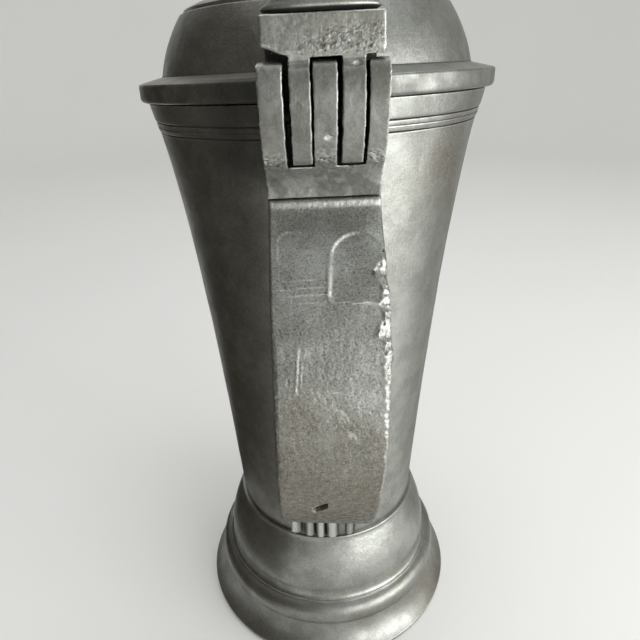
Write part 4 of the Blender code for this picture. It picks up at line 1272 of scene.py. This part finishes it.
def torn_edge(sizes, across, along, half, heights):
    """Extra depth of the torn right-hand edge, how far it is bent outwards and how bright it is: bright
    torn metal with painted highlights that change from facet to facet, and a painted highlight along the
    left edge.
    """
    spots = np.stack([across.ravel(), along.ravel(), np.zeros(across.size)], -1)
    line = np.stack([np.zeros(len(along)), along[:, 0], np.zeros(len(along))], -1)
    level = heights[:, None] / MM
    half = half[:, None]

    def ripple(size, seed):
        return cloud(line, size * MM, seed)[:, None]

    extent = smoothstep(163.0, 158.5, level) * smoothstep(92.0, 104.0, level)
    upper = smoothstep(120.0, 140.0, level)
    lower = smoothstep(150.0, 136.0, level)
    ragged = 1.05 + 0.40 * ripple(3.4, 41) + 0.40 * ripple(1.1, 42)
    for height, width, size in TEAR_BITES:
        ragged += size * np.exp(-((level - height) / width) ** 2)
    eaten = 0.9 * sizes.tear * np.clip(ragged, 0.25, 2.1) * extent * (0.45 + 0.55 * upper)
    inside = across - (half - eaten)
    facets = flakes(spots, 1.25 * MM, 43).reshape(across.shape)
    depth = np.maximum(0.0, inside) * 0.45
    chunky = (0.10 + 0.20 * upper) * extent
    depth -= chunky * MM * facets * smoothstep(-0.2 * MM, 0.4 * MM, inside)
    burr = np.exp(-((inside - 0.1 * MM) / (0.5 * MM)) ** 2) * (0.55 + 0.8 * facets)
    depth -= 0.26 * MM * burr * extent * smoothstep(130.0, 145.0, level)
    corner = np.maximum(0.0, across - (half - 1.6 * MM)) * smoothstep(106.0, 88.0, level)
    left = np.maximum(0.0, -across - (half - 1.1 * MM)) * (0.40 + 0.25 * facets)
    depth += 0.15 * corner + left * lower
    bent = (0.25 + 0.40 * ripple(4.0, 44) + 0.25 * ripple(1.2, 45)) * extent
    bent = bent * smoothstep(8.0 * MM, 12.0 * MM, across) * MM
    # Bright torn metal, with a painted highlight that varies from facet to facet
    gleam = (0.62 - 0.32 * upper + (0.15 + 0.27 * upper) * facets) * extent
    gleam *= smoothstep(-0.15 * MM, 0.25 * MM, inside)
    # Painted highlight along the left edge
    gleam = np.maximum(gleam, 0.3 * lower * smoothstep(0.0, 0.3 * MM, left))
    return depth, bent, np.clip(gleam, 0.0, 1.0)


def strap_rings(sizes):
    """Rings of points along the strap, how bright each point is, and the path of its outer face."""
    path, direction, distance = strap_path(sizes)
    keep = path[:, 0] > 35.0 * MM
    path, direction, distance = path[keep], direction[keep], distance[keep]
    section = strap_section()
    share_along = distance / distance[-1]
    narrowing = np.clip((share_along - 0.82) / 0.18, 0.0, 1.0)
    skew = sizes.skew * np.clip((share_along - 0.30) / 0.70, 0.0, 1.0)[:, None]
    half = sizes.half_width + (sizes.end_half_width - sizes.half_width) * narrowing
    thick = sizes.thickness + (sizes.end_thickness - sizes.thickness) * narrowing
    across = np.outer(half - sizes.corner, section[:, 0]) + section[:, 2] * sizes.corner
    depth = np.outer(thick - sizes.corner, section[:, 1]) + section[:, 3] * sizes.corner
    outer = section[:, 1] == 0.0
    crown = 1.0 - np.clip(np.abs(across) / half[:, None], 0.0, 1.0) ** 2
    along = np.repeat(distance[:, None], across.shape[1], axis=1)
    relief = np.zeros_like(across)
    shine = np.zeros_like(across)
    face = strap_relief(across[:, outer] + skew, along[:, outer], path[:, 1])
    relief[:, outer], shine[:, outer] = face
    torn, bent, gleam = torn_edge(sizes, across, along, half, path[:, 1])
    fade = np.clip(1.0 - depth / (2.5 * MM), 0.0, 1.0)
    shine = np.maximum(shine, gleam * fade)
    depth = depth + relief + torn * fade - 0.15 * MM * crown * outer
    across = across + bent * fade + skew
    reach = path[:, :1] + direction[:, 1:] * depth
    height = path[:, 1:] - direction[:, :1] * depth
    height -= 0.09 * (across + 12.0 * MM) * smoothstep(104.0 * MM, 84.0 * MM, height)
    rings = np.stack([across, -reach, height], -1)
    seat = sizes.terminal_radius + sizes.flute_depth + SEAM
    radius = np.linalg.norm(rings[:, :, :2], axis=2, keepdims=True)
    rings[:, :, :2] *= np.maximum(1.0, seat / np.maximum(radius, WELD))
    rings[:, :, 1] += AXIS_Y
    return rings, shine, path


def make_strap(settings):
    """The flat strap of the handle with its worn face, torn right edge and vent."""
    rings, shine, path = strap_rings(settings.handle)
    strap = skinned("stein_handle_strap", rings, shine)
    rubbed_and_lit = take(strap.data, "shine")
    places = places_of(strap.data)
    right, back, up = from_axis(places)
    # Painted shade inside the vent
    hole = np.hypot((right + 3.2) / 1.6, (up - 97.6) / 1.3)
    pit = np.interp(-up, -path[:, 1] / MM, path[:, 0] / MM) - back
    vent_shade = smoothstep(0.10, 0.45, pit) * (hole < 2.0)
    # Darker towards the lower end, with a random spread
    lower = 0.26 * smoothstep(146.0, 104.0, up) + 0.30 * smoothstep(102.0, 84.0, up)
    darker_low = lower * (0.65 + 0.9 * cloud(places, 1.2 * MM, 46))
    soiled_and_shaded = np.clip(np.maximum(vent_shade, darker_low), 0.0, 1.0)
    mark_wear(strap.data, 4000.0, 2600.0, 1, rubbed_and_lit, soiled_and_shaded)
    store(strap.data, "tarnish", smoothstep(142.0, 97.0, up))
    finish_piece(strap, "handle_strap", cast_pewter("strap_pewter", settings.metal, 1.2), CAST_SHARP)


# Centre and half width in degrees, share of the full relief, and how much higher it ends in mm
TERMINAL_LOBES = (
    (-20.4, 4.4, 1.0, 1.3),
    (-11.4, 3.0, 0.9, 0.5),
    (-5.2, 2.7, 1.0, 0.1),
    (1.2, 3.4, 1.0, 0.0),
    (6.6, 3.2, 0.5, 0.8),
    (11.0, 2.4, 0.85, 0.3),
)


def make_terminal(settings):
    """The lobed pad under the lower end of the strap."""
    sizes = settings.handle
    low, high = 45.3 * MM, 74.5 * MM
    first, last = -22.5, 15.5
    turns = np.linspace(first, last, 181)
    fine_end = low + 4.0 * MM
    heights = np.concatenate([np.linspace(low, fine_end, 25), np.linspace(fine_end, high, 24)[1:]])
    wall = np.array(drum_taper(settings.drum, 0.0, 200))[::-1]
    inner = (np.interp(heights, wall[:, 1], wall[:, 0]) + SEAM)[:, None]
    level = heights[:, None]
    rise = np.sqrt(np.clip((level - low) / (2.4 * MM), 0.0, 1.0))
    rise *= smoothstep(high, high - 2.6 * MM, level)
    lobes = np.zeros((len(heights), len(turns)))
    for centre, half, tall, short in TERMINAL_LOBES:
        rounding = np.clip((low + (2.8 + short) * MM - level) / (2.8 * MM), 0.0, 2.0) ** 2
        round_top = np.clip(1.0 - ((turns - centre) / half) ** 2 - rounding, 0.0, 1.0)
        lobes = np.maximum(lobes, tall * np.sqrt(round_top))
    ends = smoothstep(first, first + 1.0, turns) * smoothstep(last, last - 1.0, turns)
    proud = sizes.terminal_radius - 1.3 * MM - inner + (sizes.flute_depth + 0.8 * MM) * lobes
    outer = np.minimum(inner + 0.4 * MM + rise * proud * ends, sizes.terminal_radius + sizes.flute_depth)
    around = np.radians(turns)

    def round_the_drum(radius):
        across, deep = radius * np.sin(around), AXIS_Y - radius * np.cos(around)
        return np.stack([across, deep, np.repeat(level, len(turns), 1)], -1)

    back = round_the_drum(inner)[:, ::-4]
    rings = np.concatenate([round_the_drum(outer), back], axis=1)
    crests = np.concatenate([lobes, np.zeros(back.shape[:2])], axis=1)
    terminal = skinned("stein_handle_terminal", rings, crests)
    crest = take(terminal.data, "shine")
    # Painted highlight on the crests of the lobes, painted shade on their flanks and in the gaps between
    # them
    rubbed_and_lit = 0.90 * smoothstep(0.78, 0.98, crest)
    mark_wear(terminal.data, 1500.0, 1100.0, 2, rubbed_and_lit, 0.78 * smoothstep(0.82, 0.20, crest))
    metal = cast_pewter("terminal_pewter", settings.metal, 0.3, 0.18)
    finish_piece(terminal, "handle_terminal", metal, CAST_SHARP)


# Height, half width, half depth and lean to the rear
THUMB_SECTIONS = np.array((
    (0.0, 10.0, 3.9, 0.0),
    (0.8, 11.3, 4.7, 0.0),
    (2.4, 9.4, 4.1, 0.2),
    (7.0, 4.6, 3.2, 0.4),
    (11.8, 4.6, 2.8, 1.0),
    (17.4, 8.2, 2.7, 2.6),
    (22.0, 10.2, 3.1, 4.6),
    (25.5, 8.6, 2.9, 6.0),
    (27.4, 4.6, 1.6, 6.6),
)) * MM


def catmull_rom(rows, steps):
    """Smooth rows of numbers between the given ones."""
    padded = np.concatenate([rows[:1], rows, rows[-1:]])
    smooth = []
    for before, start, end, after in zip(padded, padded[1:], padded[2:], padded[3:]):
        for t in np.arange(steps) / steps:
            bend = 2 * before - 5 * start + 4 * end - after
            twist = -before + 3 * start - 3 * end + after
            smooth.append(start + 0.5 * ((end - before) * t + bend * t * t + twist * t ** 3))
    return np.array(smooth + [rows[-1]])


def make_thumbpiece(settings):
    """The waisted thumb rest that stands on the lug and leans back over the hinge."""
    top = settings.hinge.lug_top
    turns = np.linspace(0.0, math.tau, 96, endpoint=False)
    round_across = np.copysign(np.abs(np.cos(turns)) ** 0.8, np.cos(turns))
    round_deep = np.copysign(np.abs(np.sin(turns)) ** 0.8, np.sin(turns))
    rings = []
    for height, half_width, half_depth, tilt in catmull_rom(THUMB_SECTIONS, 9):
        across = half_width * round_across
        deep = AXIS_Y - 56.6 * MM - tilt + half_depth * round_deep
        rings.append(np.stack([across, deep, np.full_like(turns, top + SEAM + height)], -1))
    thumb = skinned("stein_thumbpiece", np.array(rings))
    beat_out_of_true(thumb.data, 0.06 * MM, 6 * MM, 51)
    places = places_of(thumb.data)
    places[:, 2] = np.maximum(places[:, 2], top + 0.25 * MM)
    write_places(thumb.data, places)
    # Painted shadow in the undercut at the foot of the thumbpiece
    under = smoothstep(top + 1.1 * MM, top + 0.7 * MM, places[:, 2])
    mark_wear(thumb.data, 1200.0, 1100.0, 2, 0.0, under)
    metal = cast_pewter("thumbpiece_pewter", settings.metal, 0.6)
    finish_piece(thumb, "thumbpiece", metal, TURNED_SHARP)


def plain_material(name, tint, roughness):
    """Matt material with a faint unevenness."""
    material = bpy.data.materials.new(name)
    material.use_nodes = True
    tree = material.node_tree
    shader = tree.nodes["Principled BSDF"]
    shader.inputs["Roughness"].default_value = roughness
    place = add_node(tree, "ShaderNodeTexCoord", {}).outputs["Object"]
    uneven = blotches(tree, place, 0.25, 3.0, 0.5)
    darker = tuple(0.96 * channel for channel in tint)
    tree.links.new(blend_colour(tree, uneven, darker, tuple(tint)), shader.inputs["Base Color"])
    return material


FLOOR_RADIUS, SWEEP_RADIUS, WALL_TOP = 1.3, 0.7, 1.6


def make_backdrop(studio):
    """Floor that sweeps up into a round wall."""
    flat = in_m((0.0, 0.0), (FLOOR_RADIUS, 0.0))
    sweep = arc((FLOOR_RADIUS, SWEEP_RADIUS), SWEEP_RADIUS, -90, 0, 24)
    wall = in_m((FLOOR_RADIUS + SWEEP_RADIUS, WALL_TOP))
    floor = turned("studio_floor", joined(flat, sweep, wall), COARSE_STEPS, None)
    bm = bmesh.new()
    bm.from_mesh(floor.data)
    bmesh.ops.reverse_faces(bm, faces=bm.faces)
    bm.to_mesh(floor.data)
    bm.free()
    smooth_shading(floor.data, CAST_SHARP)
    floor.data.materials.clear()
    floor.data.materials.append(plain_material("studio_paper", studio.floor, 0.9))


CARD_STEPS = 15
CARD_LOW = 0.001
# Radius and height of the card's rows above its near edge
CARD_TOP = ((0.38, CARD_LOW), (0.42, 0.06), (0.42, 0.32), (0.26, 0.62))
# Name, radius of the near edge, first and last angle in degrees, and setting of the colour
CARDS = (
    ("left_card", 0.07, 138, 170, "card"),
    ("near_card", 0.07, 170, 232, "rear_card"),
    ("rear_card", 0.33, 232, 256, "rear_card"),
    ("right_card", 0.07, 2, 66, "side_card"),
)


def make_card(name, near, start, end, tint):
    """Curved card beside the stein, which only the metal's reflections show."""
    profile = ((near, CARD_LOW), *CARD_TOP)
    turns = np.radians(np.linspace(start, end, CARD_STEPS))
    corners = [
        (radius * math.cos(turn), AXIS_Y + radius * math.sin(turn), height)
        for radius, height in profile
        for turn in turns
    ]
    index = np.arange(len(corners)).reshape(len(profile), CARD_STEPS)
    faces = np.stack([index[:-1, :-1], index[:-1, 1:], index[1:, 1:], index[1:, :-1]], -1)
    mesh = bpy.data.meshes.new(name)
    mesh.from_pydata(corners, [], faces.reshape(-1, 4).tolist())
    card = new_piece(name, mesh)
    mesh.materials.append(plain_material(name, tint, 0.9))
    card.visible_camera = False
    card.visible_shadow = False
    card.visible_diffuse = False


LAMP_TINT = (0.99, 1.0, 0.99)
SKY_TINT = (0.99, 1.0, 0.995, 1.0)
# Name, place, target, size, and setting of the power
LAMPS = (
    ("key_lamp", (0.57, -0.48, 0.25), (0.0, 0.0, 0.12), (0.85, 0.5), "key"),
    ("low_lamp", (0.21, -0.23, 0.03), (0.0, 0.0, 0.08), (0.25, 0.12), "low"),
    ("top_lamp", (0.1, 0.1, 0.9), (0.0, 0.0, 0.1), (0.6, 0.6), "top"),
)


def make_lamp(name, place, target, size, power):
    """Large soft lamp."""
    lamp = bpy.data.lights.new(name, "AREA")
    lamp.shape = "RECTANGLE"
    lamp.size, lamp.size_y = size
    lamp.energy = power
    lamp.color = LAMP_TINT
    holder = bpy.data.objects.new(name, lamp)
    holder.visible_camera = False
    holder.location = place
    holder.rotation_euler = (Vector(target) - Vector(place)).to_track_quat("-Z", "Y").to_euler()
    bpy.context.scene.collection.objects.link(holder)


def make_sky(studio):
    """Even pale light from all round."""
    world = bpy.data.worlds.new("studio_sky")
    world.use_nodes = True
    background = world.node_tree.nodes["Background"]
    background.inputs["Color"].default_value = SKY_TINT
    background.inputs["Strength"].default_value = studio.sky
    bpy.context.scene.world = world


def make_camera(studio):
    """Camera close behind the handle, looking down from the height of the lid's flange."""
    level = math.cos(studio.pitch)
    ahead = math.sin(studio.yaw) * level, math.cos(studio.yaw) * level
    forward = Vector((*ahead, -math.sin(studio.pitch)))
    right = Vector((math.cos(studio.yaw), -math.sin(studio.yaw), 0.0))
    up = right.cross(forward)
    tilted_right = math.cos(studio.roll) * right + math.sin(studio.roll) * up
    tilted_up = -math.sin(studio.roll) * right + math.cos(studio.roll) * up
    aim = Matrix((tilted_right, tilted_up, -forward)).transposed().to_4x4()
    aim.translation = Vector((0.0, -studio.distance, studio.eye_height))
    data = bpy.data.cameras.new("photo_camera")
    data.sensor_width = 36.0
    data.lens = studio.lens
    data.clip_start = 0.005
    camera = bpy.data.objects.new("photo_camera", data)
    bpy.context.scene.collection.objects.link(camera)
    turn = Matrix.Rotation(studio.turn, 4, "Z")
    camera.matrix_world = Matrix.Translation((0.0, AXIS_Y, 0.0)) @ turn @ aim
    bpy.context.scene.camera = camera


class STEIN_OT_drum(Operator):
    """Make the drum and the plate in its lower end"""

    bl_idname = "stein.make_drum"
    bl_label = "Drum and Bottom Plate"

    def execute(self, context):
        make_drum(context.scene.stein)
        make_bottom_plate(context.scene.stein)
        return {"FINISHED"}


class STEIN_OT_foot(Operator):
    """Make the moulded foot"""

    bl_idname = "stein.make_foot"
    bl_label = "Foot"

    def execute(self, context):
        make_foot(context.scene.stein)
        return {"FINISHED"}


class STEIN_OT_lid(Operator):
    """Make the domed lid"""

    bl_idname = "stein.make_lid"
    bl_label = "Lid"

    def execute(self, context):
        make_lid(context.scene.stein)
        return {"FINISHED"}


class STEIN_OT_hinge(Operator):
    """Make the hinge block, the lug and the pin"""

    bl_idname = "stein.make_hinge"
    bl_label = "Hinge"

    def execute(self, context):
        make_hinge_block(context.scene.stein)
        make_lug(context.scene.stein)
        make_pin(context.scene.stein)
        return {"FINISHED"}


class STEIN_OT_handle(Operator):
    """Make the strap of the handle"""

    bl_idname = "stein.make_handle"
    bl_label = "Handle Strap"

    def execute(self, context):
        make_strap(context.scene.stein)
        return {"FINISHED"}


class STEIN_OT_terminal(Operator):
    """Make the pad under the lower end of the handle"""

    bl_idname = "stein.make_terminal"
    bl_label = "Handle Terminal"

    def execute(self, context):
        make_terminal(context.scene.stein)
        return {"FINISHED"}


class STEIN_OT_thumbpiece(Operator):
    """Make the thumbpiece"""

    bl_idname = "stein.make_thumbpiece"
    bl_label = "Thumbpiece"

    def execute(self, context):
        make_thumbpiece(context.scene.stein)
        return {"FINISHED"}


class STEIN_OT_studio(Operator):
    """Make the floor, the light and the camera"""

    bl_idname = "stein.make_studio"
    bl_label = "Studio"

    def execute(self, context):
        studio = context.scene.stein.studio
        make_backdrop(studio)
        for name, near, start, end, tint in CARDS:
            make_card(name, near, start, end, getattr(studio, tint))
        make_sky(studio)
        for name, place, target, size, strength in LAMPS:
            make_lamp(name, place, target, size, getattr(studio, strength))
        make_camera(studio)
        context.scene.view_settings.view_transform = "Standard"
        return {"FINISHED"}


OPERATORS = (
    STEIN_OT_drum,
    STEIN_OT_foot,
    STEIN_OT_lid,
    STEIN_OT_hinge,
    STEIN_OT_handle,
    STEIN_OT_terminal,
    STEIN_OT_thumbpiece,
    STEIN_OT_studio,
)


class STEIN_PT_sidebar(Panel):
    """Sizes, finish and the steps that build the stein"""

    bl_label = "Pewter Stein"
    bl_space_type = "VIEW_3D"
    bl_region_type = "UI"
    bl_category = "Stein"

    def draw(self, context):
        settings = context.scene.stein
        for operator in OPERATORS:
            self.layout.operator(operator.bl_idname)
        for group in ("drum", "foot", "lid", "hinge", "handle", "metal", "studio"):
            box = self.layout.box()
            box.label(text=group.capitalize())
            part = getattr(settings, group)
            for name in part.__annotations__:
                box.prop(part, name)


GROUPS = (
    DrumSizes,
    FootSizes,
    LidSizes,
    HingeSizes,
    HandleSizes,
    MetalFinish,
    StudioSettings,
    SteinSettings,
)
CLASSES = (*GROUPS, *OPERATORS, STEIN_PT_sidebar)


def register():
    """Add the classes and the settings to Blender."""
    for item in CLASSES:
        bpy.utils.register_class(item)
    bpy.types.Scene.stein = PointerProperty(type=SteinSettings)


def unregister():
    """Take the settings and the classes out of Blender."""
    del bpy.types.Scene.stein
    for item in reversed(CLASSES):
        bpy.utils.unregister_class(item)


def main():
    """Register everything and build the stein step by step."""
    register()
    bpy.ops.stein.make_drum()
    bpy.ops.stein.make_foot()
    bpy.ops.stein.make_lid()
    bpy.ops.stein.make_hinge()
    bpy.ops.stein.make_handle()
    bpy.ops.stein.make_terminal()
    bpy.ops.stein.make_thumbpiece()
    bpy.ops.stein.make_studio()


if __name__ == "__main__":
    main()
